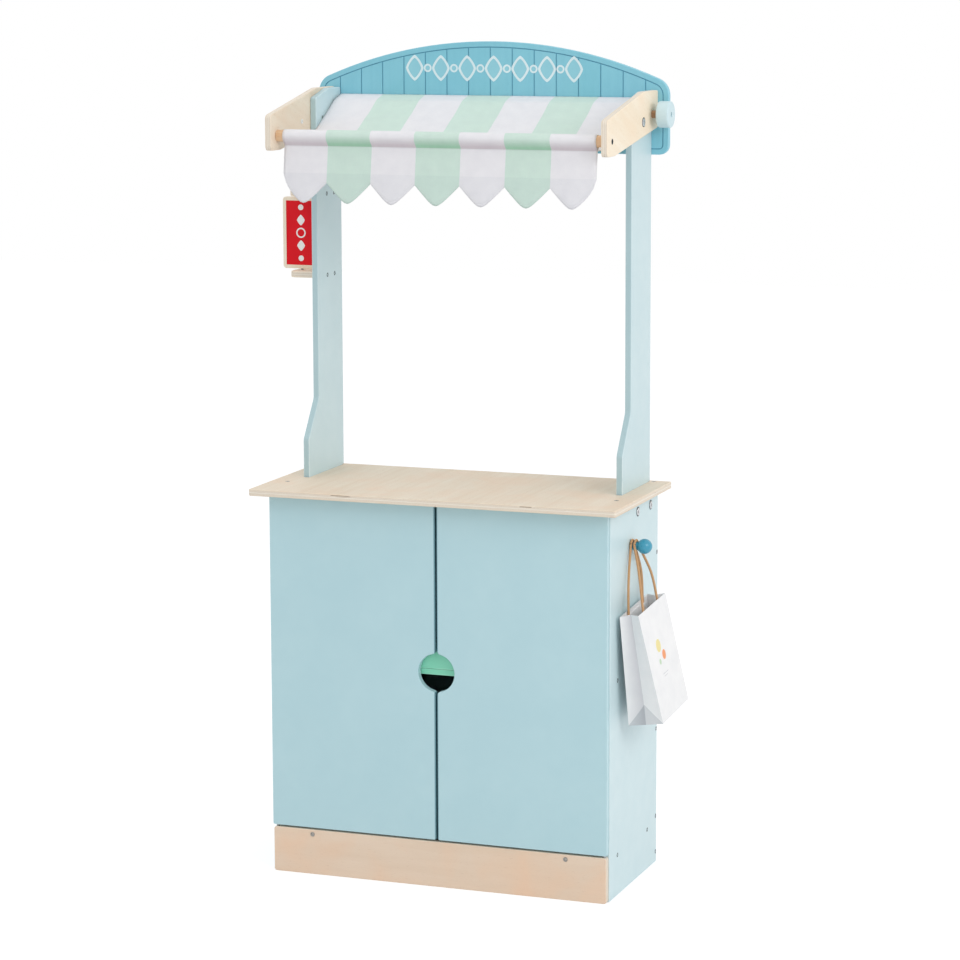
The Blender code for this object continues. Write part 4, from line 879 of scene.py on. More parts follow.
def tongue_length(x):
    """Length of the valance below its seam: seven tongues with rounded points."""
    share = (x + AWNING_HALF) / STRIPE_WIDTH
    across = abs(2 * (share - math.floor(min(share, STRIPE_COUNT - 0.001))) - 1)
    bend = TONGUE_ROUNDNESS
    rise = (math.hypot(across, bend) - bend) / (math.hypot(1, bend) - bend)
    to_side = max(0.0, SHOULDER_RADIUS - (AWNING_HALF - abs(x)))
    shoulder = SHOULDER_RADIUS - math.sqrt(SHOULDER_RADIUS ** 2 - to_side ** 2)
    return TONGUE_TIP_LENGTH - (TONGUE_TIP_LENGTH - NOTCH_LENGTH) * rise - SHOULDER_RISE * shoulder


def valance_forward(x, drop):
    """How far the valance stands forward of its seam."""
    share = drop / TONGUE_TIP_LENGTH
    wave = 0.5 - 0.5 * math.cos(2 * math.pi * (x + AWNING_HALF) / STRIPE_WIDTH)
    ripple = VALANCE_RIPPLE * noise.noise((x * 22, drop * 14, 1.7))
    return share * (VALANCE_LEAN + VALANCE_WAVE * wave + ripple)


AWNING_PROFILE = awning_profile()
PROFILE_LENGTHS = [0.0]
for (y_a, z_a, _), (y_b, z_b, _) in zip(AWNING_PROFILE, AWNING_PROFILE[1:]):
    PROFILE_LENGTHS.append(PROFILE_LENGTHS[-1] + math.hypot(y_b - y_a, z_b - z_a))
SEAM_PLACE = PROFILE_LENGTHS[-1]
FACING_SHADE_PLACE = SEAM_PLACE + TONGUE_FACING


def awning_point(x, row):
    """Place of the awning cloth at this X and row, and its place on the flat cloth."""
    last = len(AWNING_PROFILE) - 1
    if row <= last:
        y, z, share = AWNING_PROFILE[row]
        if share:
            z -= roof_fold(x, share)
        return (x, y, z), (x + AWNING_HALF, PROFILE_LENGTHS[row])
    drop = tongue_length(x) * (row - last) / VALANCE_ROWS
    y = AWNING_PROFILE[last][0] - valance_forward(x, drop)
    return (x, y, AWNING_PROFILE[last][1] - drop), (x + AWNING_HALF, SEAM_PLACE + drop)


def awning():
    """Striped awning: roof, tunnel round the front rod and scalloped valance, in one cloth."""
    material = fabric("awning_cotton", striped)
    columns = STRIPE_COUNT * STRIPE_COLUMNS
    rows = len(AWNING_PROFILE) - 1 + VALANCE_ROWS

    def corner(column, row):
        return awning_point(-AWNING_HALF + 2 * AWNING_HALF * column / columns, row)

    piece = thicken(grid("awning", columns, rows, corner, material), AWNING_CLOTH)
    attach(piece, "root")
    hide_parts("awning_cloth")
    step = 2 * AWNING_HALF / columns
    valance_area = sum(
        tongue_length(-AWNING_HALF + step * (column + 0.5)) * step for column in range(columns)
    )
    length = SEAM_PLACE + TONGUE_TIP_LENGTH
    return piece, (2 * AWNING_HALF, length), 2 * AWNING_HALF * SEAM_PLACE + valance_area


def laying_tree(name, inputs):
    """Geometry node tree with these inputs beside geometry and finish, its graph, and what it is given."""
    tree = bpy.data.node_groups.new(name, "GeometryNodeTree")
    for word, kind in {"Geometry": "Geometry", **inputs, "Finish": "Material"}.items():
        tree.interface.new_socket(name=word, in_out="INPUT", socket_type="NodeSocket" + kind)
    tree.interface.new_socket(name="Geometry", in_out="OUTPUT", socket_type="NodeSocketGeometry")
    g = Graph(tree)
    return tree, g, g.node("NodeGroupInput").outputs


def put_out(g, geometry, material):
    """Ends a tree: its geometry gets its material and goes out."""
    final = g.node("GeometryNodeSetMaterial", {"Geometry": geometry, "Material": material}).outputs[0]
    g.node("NodeGroupOutput", {0: final})


def set_out_tree():
    """Node tree that sets a pattern on every point, facing as the point's facing attribute says."""
    tree, g, given = laying_tree("set_out", {"Pattern": "Object", "Most turn": "Float", "Seed": "Int"})
    facing = g.node(
        "GeometryNodeInputNamedAttribute", {"Name": "facing"}, data_type="FLOAT_VECTOR",
    ).outputs[0]
    upright = g.node("FunctionNodeAlignRotationToVector", {"Vector": facing}, axis="Z").outputs[0]
    most = given["Most turn"]
    chance = g.node("FunctionNodeRandomValue", {
        2: g.math("MULTIPLY", most, -1), 3: most, "Seed": given["Seed"],
    }, data_type="FLOAT").outputs[1]
    spin = g.node("FunctionNodeAxisAngleToRotation", {"Axis": UP, "Angle": chance}).outputs[0]
    turned = g.node("FunctionNodeRotateRotation", {0: upright, 1: spin}, rotation_space="LOCAL").outputs[0]
    shape = g.node("GeometryNodeObjectInfo", {"Object": given["Pattern"]}).outputs["Geometry"]
    placed = g.node("GeometryNodeInstanceOnPoints", {
        "Points": given["Geometry"], "Instance": shape, "Rotation": turned,
    }).outputs[0]
    put_out(g, g.node("GeometryNodeRealizeInstances", {0: placed}).outputs[0], given["Finish"])
    return tree


def stitch_tree():
    """Node tree that lays stitches along the edges of a mesh."""
    tree, g, given = laying_tree("stitches", {"Pitch": "Float", "Stitch": "Float", "Thread": "Float"})
    line = g.node("GeometryNodeMeshToCurve", {0: given["Geometry"]}).outputs[0]
    spaced = g.node(
        "GeometryNodeResampleCurve", {"Curve": line, "Length": given["Pitch"]}, mode="LENGTH",
    ).outputs[0]
    run = g.node("GeometryNodeInputTangent").outputs[0]
    turned = g.node("FunctionNodeAlignRotationToVector", {"Vector": run}, axis="X").outputs[0]
    bead = g.node("GeometryNodeMeshUVSphere", {"Segments": 6, "Rings": 4, "Radius": 1.0}).outputs[0]
    half = g.math("MULTIPLY", given["Stitch"], 0.5)
    size = g.join(half, given["Thread"], given["Thread"])
    placed = g.node("GeometryNodeInstanceOnPoints", {
        "Points": spaced, "Instance": bead, "Rotation": turned, "Scale": size,
    }).outputs[0]
    real = g.node("GeometryNodeRealizeInstances", {0: placed}).outputs[0]
    put_out(g, g.node("GeometryNodeSetShadeSmooth", {0: real}).outputs[0], given["Finish"])
    return tree


SET_OUT = set_out_tree()
STITCHES = stitch_tree()


def run_tree(piece, tree, **inputs):
    """The plain result of a node tree on a piece, with inputs by name whose _ stands for a space."""
    modifier = piece.modifiers.new("nodes", "NODES")
    modifier.node_group = tree
    for item in tree.interface.items_tree:
        word = item.name.replace(" ", "_")
        if item.in_out == "INPUT" and word in inputs:
            modifier[item.identifier] = inputs[word]
    return plain(piece)


def set_out(name, places, pattern, material, most_turn=0.0, seed=1):
    """One piece made of a pattern at each (place, facing)."""
    mesh = bpy.data.meshes.new(name)
    mesh.from_pydata([tuple(place) for place, _ in places], [], [])
    attribute = mesh.attributes.new("facing", "FLOAT_VECTOR", "POINT")
    for spot, (_, facing) in zip(attribute.data, places):
        spot.vector = facing
    piece = new_object(name, mesh)
    return run_tree(piece, SET_OUT, Pattern=pattern, Most_turn=most_turn, Seed=seed, Finish=material)


def stitched(name, lines, material, pitch=0.0034, stitch=0.0026, thread=0.00022):
    """One piece of stitches along lines of points."""
    verts, edges = [], []
    for line in lines:
        edges += [(len(verts) + step, len(verts) + step + 1) for step in range(len(line) - 1)]
        verts += [tuple(point) for point in line]
    mesh = bpy.data.meshes.new(name)
    mesh.from_pydata(verts, edges, [])
    piece = new_object(name, mesh)
    return run_tree(piece, STITCHES, Pitch=pitch, Stitch=stitch, Thread=thread, Finish=material)


def thread_finish(name, colour):
    """Sewing thread."""
    def build(g):
        twist = g.noise(g.place(), 5200, 2)
        tone = g.mix(twist, tint(*colour), tint(*(0.86 * c for c in colour)))
        return {"Base Color": tone, "Roughness": 0.75, "Normal": g.bump(twist, 0.00004)}
    return finish(name, build)


def awning_stitches():
    """Stitches of the awning: along the seam, the tongues' edges and the roof's side hems."""
    material = thread_finish("white_thread", (232, 234, 236))
    seam_y, seam_z, _ = AWNING_PROFILE[-1]
    proud = AWNING_CLOTH / 2 + STITCH_PROUD
    half = AWNING_HALF - SEAM_STITCH_INSET
    lines = [[(side * half, seam_y - proud, seam_z - SEAM_STITCH_DROP) for side in (-1, 1)]]
    run = STRIPE_WIDTH - 2 * TONGUE_STITCH_INSET
    for tongue in range(STRIPE_COUNT):
        start = -AWNING_HALF + tongue * STRIPE_WIDTH + TONGUE_STITCH_INSET
        line = []
        for step in range(TONGUE_STITCH_STEPS + 1):
            x = start + run * step / TONGUE_STITCH_STEPS
            drop = tongue_length(x) - TONGUE_STITCH_RISE
            line.append((x, seam_y - valance_forward(x, drop) - proud, seam_z - drop))
        lines.append(line)
    for side in (-1, 1):
        x = side * (AWNING_HALF - SIDE_STITCH_INSET)
        line = []
        for y, z, share in AWNING_PROFILE[::2]:
            if share and 0.02 < share < 0.9:
                line.append((x, y - 2 * STITCH_PROUD, z - roof_fold(x, share) + proud))
        lines.append(line)
    piece = stitched("awning_stitches", lines, material)
    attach(piece, "root")
    return piece


def curtain():
    """Puppet theatre curtain: the roll on the dowel, and the cloth that comes off it, round the hem bar."""
    material = fabric("curtain_cotton", plain_mint, threads=1900.0)
    outer = ROLL_RADIUS - CURTAIN_CLOTH / 2
    inner = ROLLER_RADIUS + GAP + CURTAIN_CLOTH / 2
    turns = (outer - inner) / CURTAIN_PITCH
    steps = round(turns * ROLL_STEPS_A_TURN)
    spiral, lengths = [], [0.0]
    for step in range(steps + 1):
        turn = 2 * math.pi * turns * step / steps
        radius = outer - (outer - inner) * step / steps
        spiral.append((ROLLER.y + radius * math.cos(turn), ROLLER.z + radius * math.sin(turn)))
    for before, after in zip(spiral, spiral[1:]):
        lengths.append(lengths[-1] + math.dist(before, after))

    def wound(column, row):
        end = CURTAIN_HALF - CURTAIN_NARROWER + CURTAIN_NARROWER * noise.noise((row * 0.05, 0, 2.2))
        x = -end + 2 * end * column / ROLL_COLUMNS
        return (x, *spiral[row]), (x + CURTAIN_HALF, -lengths[row])

    roll = thicken(grid("curtain_roll_cloth", ROLL_COLUMNS, steps, wound, material), CURTAIN_CLOTH)
    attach(roll, "curtain_roller")
    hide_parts("curtain_roll")

    y = HEM_BAR.y
    loop_radius = HEM_BAR_RADIUS + GAP + CURTAIN_CLOTH / 2
    lean = math.degrees(math.acos(loop_radius / math.hypot(SEAM_HALF, CURTAIN_SEAM_RISE)))
    low = HEM_BAR.z + CURTAIN_SEAM_RISE
    top = ROLLER.z
    over_roll = round_outline((ROLLER.y, ROLLER.z), y - ROLLER.y, 32, 8, 3)
    path = [(py, pz, 0.0) for py, pz in over_roll]
    for row in range(CURTAIN_ROWS + 1):
        weight = row / CURTAIN_ROWS
        share = 0.5 - math.sin(math.asin(1 - 2 * weight) / 3)
        path.append((y, top + (low - top) * share, weight))
    loop = round_outline((y, HEM_BAR.z), loop_radius, 90 - lean, -270 + lean, HEM_LOOP_STEPS)
    path += [(py, pz, 1.0) for py, pz in loop]
    path.append((y - SEAM_HALF, low, 1.0))
    run = [0.0]
    for before, after in zip(path, path[1:]):
        step = math.dist(before[:2], after[:2])
        run.append(run[-1] + step + (after[2] - before[2]) * CURTAIN_DROP)

    def hanging(column, row):
        half = CURTAIN_HALF - CURTAIN_NARROWER
        x = -half + 2 * half * column / CURTAIN_COLUMNS
        py, pz, weight = path[row]
        ripple = CURTAIN_RIPPLE * math.sin(x * 34) * math.sin(math.pi * weight)
        return (x, py + ripple, pz), (x + CURTAIN_HALF, run[row])

    cloth = grid("curtain_hanging_cloth", CURTAIN_COLUMNS, len(path) - 1, hanging, material)
    cloth = thicken(cloth, CURTAIN_CLOTH)
    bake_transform(cloth)
    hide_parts("curtain_cloth")
    half = CURTAIN_HALF - HEM_STITCH_INSET
    front = y - SEAM_HALF - CURTAIN_CLOTH / 2 - STITCH_PROUD
    seam = [(side * half, front, low - HEM_STITCH_DROP) for side in (-1, 1)]
    mint = thread_finish("mint_thread", (186, 214, 200))
    stitches = stitched("curtain_stitches", [seam], mint, thread=0.00018)
    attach(stitches, "hem_bar")
    flat = (2 * CURTAIN_HALF, lengths[-1] + run[-1] - CURTAIN_DROP)
    return roll, cloth, stitches, flat


def turned_woods():
    """Front rod, roller dowel and hem bar, each as its solid but rounder."""
    beech = dowel_wood("beech_dowel", (240, 210, 176), (222, 180, 138))
    # The roller's beech is darker than the other dowels' as painted shade for where it sits, between knob and
    # bracket
    shaded_beech = dowel_wood("roller_beech", (182, 138, 102), (154, 112, 78))
    for node, body, edge in (("front_rod", "root", 0.0006), ("roller_dowel", "curtain_roller", 0.0004),
                             ("hem_bar", "hem_bar", 0.0008)):
        low, high = box(node)
        radius = (high.z - low.z) / 2
        length = high.x - low.x
        middle = (low + high) / 2
        end = [(0, 0), (radius - edge, 0), (radius - edge * 0.3, edge * 0.3), (radius, edge)]
        profile = [(around, length - along) for around, along in end] + end[::-1]
        wood = shaded_beech if node == "roller_dowel" else beech
        piece = lathe(node + "_turned", profile, (low.x, middle.y, middle.z), RIGHT, wood, 48)
        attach(piece, body)
        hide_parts(node)


def knobs():
    """Roller knobs: turned and painted, each with a screw in its socket."""
    blue = ((206, 228, 233), (192, 219, 226), (224, 238, 241))
    for word, side in (("left", -1), ("right", 1)):
        node = "knob_" + word
        low, high = box(node)
        radius = (high.z - low.z) / 2
        length = high.x - low.x
        inner = low.x if side > 0 else high.x
        bore = ROLLER_RADIUS + GAP
        face = length - KNOB_SOCKET_DEPTH
        socket = KNOB_SOCKET_RADIUS
        profile = [(0, face), (socket - KNOB_SOCKET_FILLET, face), (socket, face + KNOB_SOCKET_FILLET)]
        profile += [(socket, length - KNOB_SOCKET_RIM), (socket + KNOB_SOCKET_RIM, length)]
        outer = round_outline((length - KNOB_EDGE, radius - KNOB_EDGE), KNOB_EDGE, 0, 90, 8)
        outer += round_outline((KNOB_EDGE, radius - KNOB_EDGE), KNOB_EDGE, 90, 180, 8)
        profile += [(around, along) for along, around in outer]
        profile += [(bore, 0), (bore, KNOB_BORE_DEPTH), (0, KNOB_BORE_DEPTH)]
        paint = painted(node + "_paint", node, *blue, roughness=0.38, rub=TURNED_RUB)
        piece = lathe(node + "_turned", profile, (inner, ROLLER.y, ROLLER.z), (side, 0, 0), paint, 72)
        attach(piece, "curtain_roller")
        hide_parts(node)


def peg():
    """Peg with a round head on a neck."""
    low, high = box("peg")
    ball = (high.z - low.z) / 2
    panel = PEG.x
    reach = high.x - panel - ball
    neck = math.degrees(math.asin(PEG_SHANK / ball))
    arc = round_outline((0, 0), ball, 0, 180 - neck, 26)
    profile = [(around, reach + along) for along, around in arc]
    profile[0] = (0, reach + ball)
    profile += [(PEG_SHANK, GAP), (PEG_TENON, GAP), (PEG_TENON, low.x - panel), (0, low.x - panel)]
    teal = ((62, 156, 184), (48, 140, 170), (110, 190, 208))
    paint = painted("peg_paint", "peg", *teal, roughness=0.28, rub=TURNED_RUB)
    piece = lathe("peg_turned", profile, PEG, RIGHT, paint, 64, 50)
    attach(piece, "root")
    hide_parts("peg")


def ferrule():
    """Small white bush on the inner face of the left bracket."""
    def build(g):
        cloud = g.noise(g.place(), 300, 2)
        return {"Base Color": g.mix(cloud, tint(240, 240, 238), tint(226, 228, 228)), "Roughness": 0.4}
    inner = box("bracket_left")[1].x
    profile = [(0.0016, -0.0015), (0.0016, 0.0009), (0.0020, 0.0012), (0.0034, 0.0010), (0.0038, 0.0005),
               (0.0038, GAP), (0.0024, GAP), (0.0024, -0.0015), (0.0016, -0.0015)]
    foot = (inner, BUSH_DEPTH, BUSH_HEIGHT)
    piece = lathe("bracket_bush", profile, foot, RIGHT, finish("white_nylon", build), 32)
    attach(piece, "root")


def cut_pattern(name, profile, corners, low, high, steps):
    """Turned pattern with a recess whose outline widens from low to high."""
    pattern = lathe(name, profile, (0, 0, 0), UP, None, steps)
    pattern.data.materials.clear()
    work = bmesh.new()
    base = [work.verts.new((x, y, low)) for x, y in corners]
    top = [work.verts.new((x * RECESS_WIDER, y * RECESS_WIDER, high)) for x, y in corners]
    work.faces.new(base)
    work.faces.new(top)
    for step in range(len(corners)):
        after = (step + 1) % len(corners)
        work.faces.new((base[step], base[after], top[after], top[step]))
    tool = object_from(name + "_tool", work)
    recess = pattern.modifiers.new("recess", "BOOLEAN")
    recess.object = tool
    recess.solver = "EXACT"
    made = plain(pattern)
    bpy.data.objects.remove(tool)
    return made


def screw_pattern(name, radius, length):
    """Countersunk screw head with a cross recess, flush with its surface, on a shank of this length."""
    arm, width = radius * 0.62, radius * 0.15
    cross = [
        (arm, -width), (arm, width), (width, width), (width, arm), (-width, arm), (-width, width),
        (-arm, width), (-arm, -width), (-width, -width), (-width, -arm), (width, -arm), (width, -width),
    ]
    profile = [(0, 0.00012), (radius * 0.8, 0.00010), (radius * 0.97, -0.00005), (radius, -0.00025)]
    profile += [(radius * 0.52, -SCREW_CONE * 0.7), (SCREW_SHANK_RADIUS, -SCREW_CONE)]
    profile += [(SCREW_SHANK_RADIUS, SCREW_POINT - length), (0, -length)]
    return cut_pattern(name, profile, cross, -CROSS_DEPTH, CROSS_TOP, 28)


def bolt_pattern():
    """Ring head of a bolt, with a hexagonal socket, on its shank."""
    hexagon = round_outline((0, 0), BOLT_SOCKET, 0, 300, 5)
    ring = ((0, 0.8), (0.62, 0.8), (0.68, 1), (0.9, 1), (0.98, 0.7), (1, 0.35))
    profile = [(BOLT_RADIUS * out, BOLT_HEAD * up) for out, up in ring]
    profile += [(BOLT_RADIUS, BOLT_CLEAR), (BOLT_SHANK_RADIUS, BOLT_CLEAR)]
    profile += [(BOLT_SHANK_RADIUS, -BOLT_LENGTH), (0, -BOLT_LENGTH)]
    return cut_pattern("bolt_pattern", profile, hexagon, -BOLT_HEAD, BOLT_HEAD * 1.2, 40)


def head_place(node, facing):
    """Middle of the face of a node's box that looks in this direction."""
    low, high = box(node)
    half = (high - low) / 2
    return (low + high) / 2 + Vector([half[i] * facing[i] for i in range(3)])


def fasteners():
    """Screw heads and ring-headed bolts."""
    plated = metal("plated_steel", (186, 182, 176), 0.34)
    bright = metal("bright_steel", (232, 234, 236), 0.3)
    dark = blackened("blackened_steel", (58, 68, 74))
    screw = screw_pattern("screw_pattern", SCREW_RADIUS, SCREW_LENGTH)
    large = screw_pattern("large_screw_pattern", ROD_SCREW_RADIUS, SCREW_LENGTH)
    holder = screw_pattern("holder_screw_pattern", HOLDER_SCREW_RADIUS, HOLDER_SCREW_LENGTH)
    rings = [round_outline((0, 0), radius, 0, 351, 40) for radius in (WASHER_RADIUS, WASHER_HOLE)]
    washer = flat_pattern("washer", *rings, WASHER_THICKNESS)
    bolt = bolt_pattern()
    sides = (("left", -1), ("right", 1))
    groups = {
        "plinth_screws": (screw, plated, [("plinth_screw_" + word, FRONT) for word, _ in sides]),
        "counter_screws": (screw, plated, [
            (f"counter_screw_{word}_{place}", UP) for word, _ in sides for place in ("front", "rear")]),
        "arch_screws": (screw, plated, [
            (f"arch_screw_{word}_{place}", BACK) for word, _ in sides for place in ("upper", "lower")]),
        "rod_screws": (large, dark, [("rod_screw_" + word, (side, 0, 0)) for word, side in sides]),
        "post_bolts": (bolt, bright, [
            (f"post_bolt_{word}_{place}", (side, 0, 0))
            for word, side in sides for place in ("front", "rear")]),
        "bracket_bolts": (bolt, bright, [("bracket_bolt_" + word, (side, 0, 0)) for word, side in sides]),
    }
    for number, (name, (pattern, material, nodes)) in enumerate(groups.items()):
        proud = BOLT_HEAD if pattern is bolt else -GAP
        places = [(head_place(node, facing) - Vector(facing) * proud, facing) for node, facing in nodes]
        piece = set_out(name, places, pattern, material, math.pi, 11 + number)
        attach(piece, "root")
        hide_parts(*[node for node, _ in nodes])
    outer = box("side_panel_right")[1].x
    places = [((side * outer, y, z), (side, 0, 0)) for side in (-1, 1) for y, z in SIDE_SCREWS]
    piece = set_out("side_screws", places, holder, dark, math.pi, 31)
    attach(piece, "root")
    inner = box("post_left")[1].x
    places = [((inner, y, z), RIGHT) for y, z in HOLDER_SCREWS]
    piece = set_out("sign_holder_screws", places, holder, dark, math.pi, 37)
    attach(piece, "root")
    places = [(head_place(node, facing) - Vector(facing) * BOLT_HEAD, facing)
              for name in ("post_bolts", "bracket_bolts") for node, facing in groups[name][2]]
    piece = set_out("bolt_washers", places, washer, metal("dark_washer_steel", (58, 70, 82), 0.5))
    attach(piece, "root")
    face = box("knob_right")[1].x - KNOB_SOCKET_DEPTH
    places = [((side * face, ROLLER.y, ROLLER.z), (side, 0, 0)) for side in (-1, 1)]
    piece = set_out("knob_screws", places, holder, metal("shaded_steel", (36, 84, 86), 0.5), math.pi, 41)
    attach(piece, "curtain_roller")
    for pattern in (screw, large, holder, washer, bolt):
        bpy.data.objects.remove(pattern)


def flat_pattern(name, outline, hole, thickness):
    """Thin flat shape, with or without a hole of as many points as its outline."""
    work = bmesh.new()
    rings = []
    for height in (0, thickness):
        for line in (outline, hole) if hole else (outline,):
            rings.append([work.verts.new((x, y, height)) for x, y in line])
    if hole:
        low, low_hole, high, high_hole = rings
        strips = ((low, high), (low_hole, high_hole), (high, high_hole), (low, low_hole))
    else:
        low, high = rings
        strips = ((low, high),)
        work.faces.new(high)
        work.faces.new(low)
    for first, second in strips:
        for step in range(len(first)):
            after = (step + 1) % len(first)
            work.faces.new((first[step], first[after], second[after], second[step]))
    return object_from(name, work)


def lozenge(reach, height, roundness, steps=48):
    """Rounded diamond outline."""
    points = []
    for step in range(steps):
        turn = 2 * math.pi * step / steps
        x, y = math.cos(turn), math.sin(turn)
        size = 1 / (abs(x) ** roundness + abs(y) ** roundness) ** (1 / roundness)
        points.append((reach * size * x, height * size * y))
    return points


def print_finish(name, colour, shade):
    """Screen-printed paint, slightly thin in places."""
    def build(g):
        film = g.use(
            PAINT, Coordinates=g.place(), Colour=tint(*colour), Shade=tint(*shade), Peel=1600, Roughness=0.5,
        )
        fine = g.bump(film["Height"], 0.00004)
        return {"Base Color": film["Colour"], "Roughness": film["Roughness"], "Normal": fine}
    return finish(name, build)


def ornaments():
    """Printed ornaments: a row of lozenges and dots on the arched board, and a column on the sign's faces."""
    white = print_finish("white_print", (226, 240, 244), (208, 230, 236))
    sign_white = print_finish("sign_white_print", (250, 248, 246), (240, 238, 236))
    pale = print_finish("pale_blue_print", (150, 208, 222), (138, 200, 216))
    rim = flat_pattern("lozenge_rim", lozenge(*LOZENGE_RIM), lozenge(*LOZENGE_HOLE), PRINT)
    fill = flat_pattern("lozenge_fill", lozenge(*LOZENGE_FILL), None, THIN_PRINT)
    dot_rim = flat_pattern("dot_rim", lozenge(*DOT_RIM), lozenge(*DOT_HOLE), PRINT)
    dot_fill = flat_pattern("dot_fill", lozenge(*DOT_FILL), None, THIN_PRINT)
    y = box("arched_board")[0].y
    large, small = [], []
    for index in range(LOZENGE_COUNT):
        x = LOZENGE_MIDDLE_X + (index - (LOZENGE_COUNT - 1) / 2) * LOZENGE_PITCH
        large.append(((x, y, LOZENGE_MIDDLE_Z), FRONT))
        if index < LOZENGE_COUNT - 1:
            small.append(((x + LOZENGE_PITCH / 2, y, LOZENGE_MIDDLE_Z), FRONT))
    groups = (
        ("board_lozenge_rims", large, rim, white), ("board_lozenge_fills", large, fill, pale),
        ("board_dot_rims", small, dot_rim, white), ("board_dot_fills", small, dot_fill, pale),
    )
    for name, places, pattern, material in groups:
        piece = set_out(name, places, pattern, material)
        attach(piece, "root")
    sign = centre("flip_sign")
    low, high = box("flip_sign")
    face = (high.y - low.y) / 2 - SIGN_RECESS
    column = {
        "sign_dots": ((-2, 2), flat_pattern("sign_dot", lozenge(*SIGN_DOT), None, PRINT)),
        "sign_lozenges": ((-1, 1), flat_pattern("sign_lozenge", lozenge(*SIGN_LOZENGE), None, PRINT)),
        "sign_rings": ((0,), flat_pattern("sign_ring", lozenge(*SIGN_RING), lozenge(*SIGN_RING_HOLE), PRINT)),
    }
    for name, (rows, pattern) in column.items():
        places = [((sign.x, sign.y + side * face, sign.z + row * SIGN_PITCH), (0, side, 0))
                  for row in rows for side in (-1, 1)]
        piece = set_out(name, places, pattern, sign_white)
        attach(piece, "flip_sign")
        bpy.data.objects.remove(pattern)
    for pattern in (rim, fill, dot_rim, dot_fill):
        bpy.data.objects.remove(pattern)


def sign_finish():
    """Flip sign: red panels in a bare plywood border."""
    low, high = box("flip_sign")
    middle = (low + high) / 2
    half_x = (high.x - low.x) / 2 - SIGN_BORDER + SIGN_PANEL_LAP
    half_z = (high.z - low.z) / 2 - SIGN_BORDER + SIGN_PANEL_LAP

    def build(g):
        place = g.place()
        x, _, z = g.split(g.vector("SUBTRACT", place, tuple(middle)))
        over_x = g.math("SUBTRACT", g.math("ABSOLUTE", x), half_x)
        over_z = g.math("SUBTRACT", g.math("ABSOLUTE", z), half_z)
        red = g.math("LESS_THAN", g.math("MAXIMUM", over_x, over_z), 0)
        turned = g.node("ShaderNodeMapping", {"Vector": place, "Rotation": (0, math.pi / 2, 0)}).outputs[0]
        wood = g.use(VENEER, Coordinates=turned, Along=4, Across=90, **tints(CREAM_VENEER))
        px, py, pz = g.split(place)
        through = g.remap(py, low.y, high.y)
        edge = g.use(PLY, Coordinates=g.join(px, pz, py), Through=through, Layers=5, **tints(PLY_EDGE))
        bare = g.mix(edge["Inside"], wood["Colour"], edge["Colour"])
        film = g.use(
            PAINT, Coordinates=place, Colour=tint(232, 14, 32), Shade=tint(220, 10, 28), Roughness=0.4,
        )
        rough = g.blend(red, 0.58, film["Roughness"])
        height = g.blend(red, wood["Height"], film["Height"])
        return {
            "Base Color": g.mix(red, bare, film["Colour"]), "Roughness": rough,
            "Normal": g.bump(height, 0.00007), "Specular IOR Level": 0.2,
        }
    return finish("sign_panel", build)


def arched_board_finish():
    """Blue planks with painted shade in their grooves, and each plank a little different."""
    low, high = box("arched_board")

    def build(g):
        place = g.place()
        x, y, _ = g.split(place)
        plank = g.math("FLOOR", g.math("DIVIDE", x, PLANK_PITCH))
        chance = g.node("ShaderNodeTexWhiteNoise", {"W": plank}, noise_dimensions="1D").outputs["Value"]
        edge = g.use(EDGE_RUB, Coordinates=place, Low=tuple(low), High=tuple(high), Width=0.0016)
        run = g.node("ShaderNodeMapping", {"Vector": place, "Rotation": (0, math.pi / 2, 0)}).outputs[0]
        streak = g.noise(g.vector("MULTIPLY", run, (6, 160, 160)), 1, 3)
        film = g.use(
            PAINT, Coordinates=place, Colour=tint(134, 201, 218), Shade=tint(121, 192, 211),
            Rubbed=tint(160, 212, 224), Rub=edge["Mask"], Roughness=0.42,
        )
        colour = g.mix(g.remap(chance, 0, 1, 0, 0.35), film["Colour"], tint(146, 204, 221))
        colour = g.mix(g.remap(streak, 0.4, 0.7, 0, 0.2), colour, tint(114, 187, 207))
        # Painted shade on the grooves' floors: faces that look to the front and lie behind the board's face
        looks = g.node("ShaderNodeTexCoord").outputs["Normal"]
        flat = g.math("LESS_THAN", g.split(looks)[1], -0.9)
        deep = g.math("GREATER_THAN", y, low.y + GROOVE_SHADE_START)
        dark = g.math("MULTIPLY", g.math("MULTIPLY", flat, deep), 0.85)
        colour = g.mix(dark, colour, tint(74, 150, 178))
        return {
            "Base Color": colour, "Roughness": film["Roughness"], "Normal": g.bump(film["Height"], 0.00006),
            "Coat Weight": 0.1, "Coat Roughness": 0.3,
        }
    return finish("arched_board_paint", build)


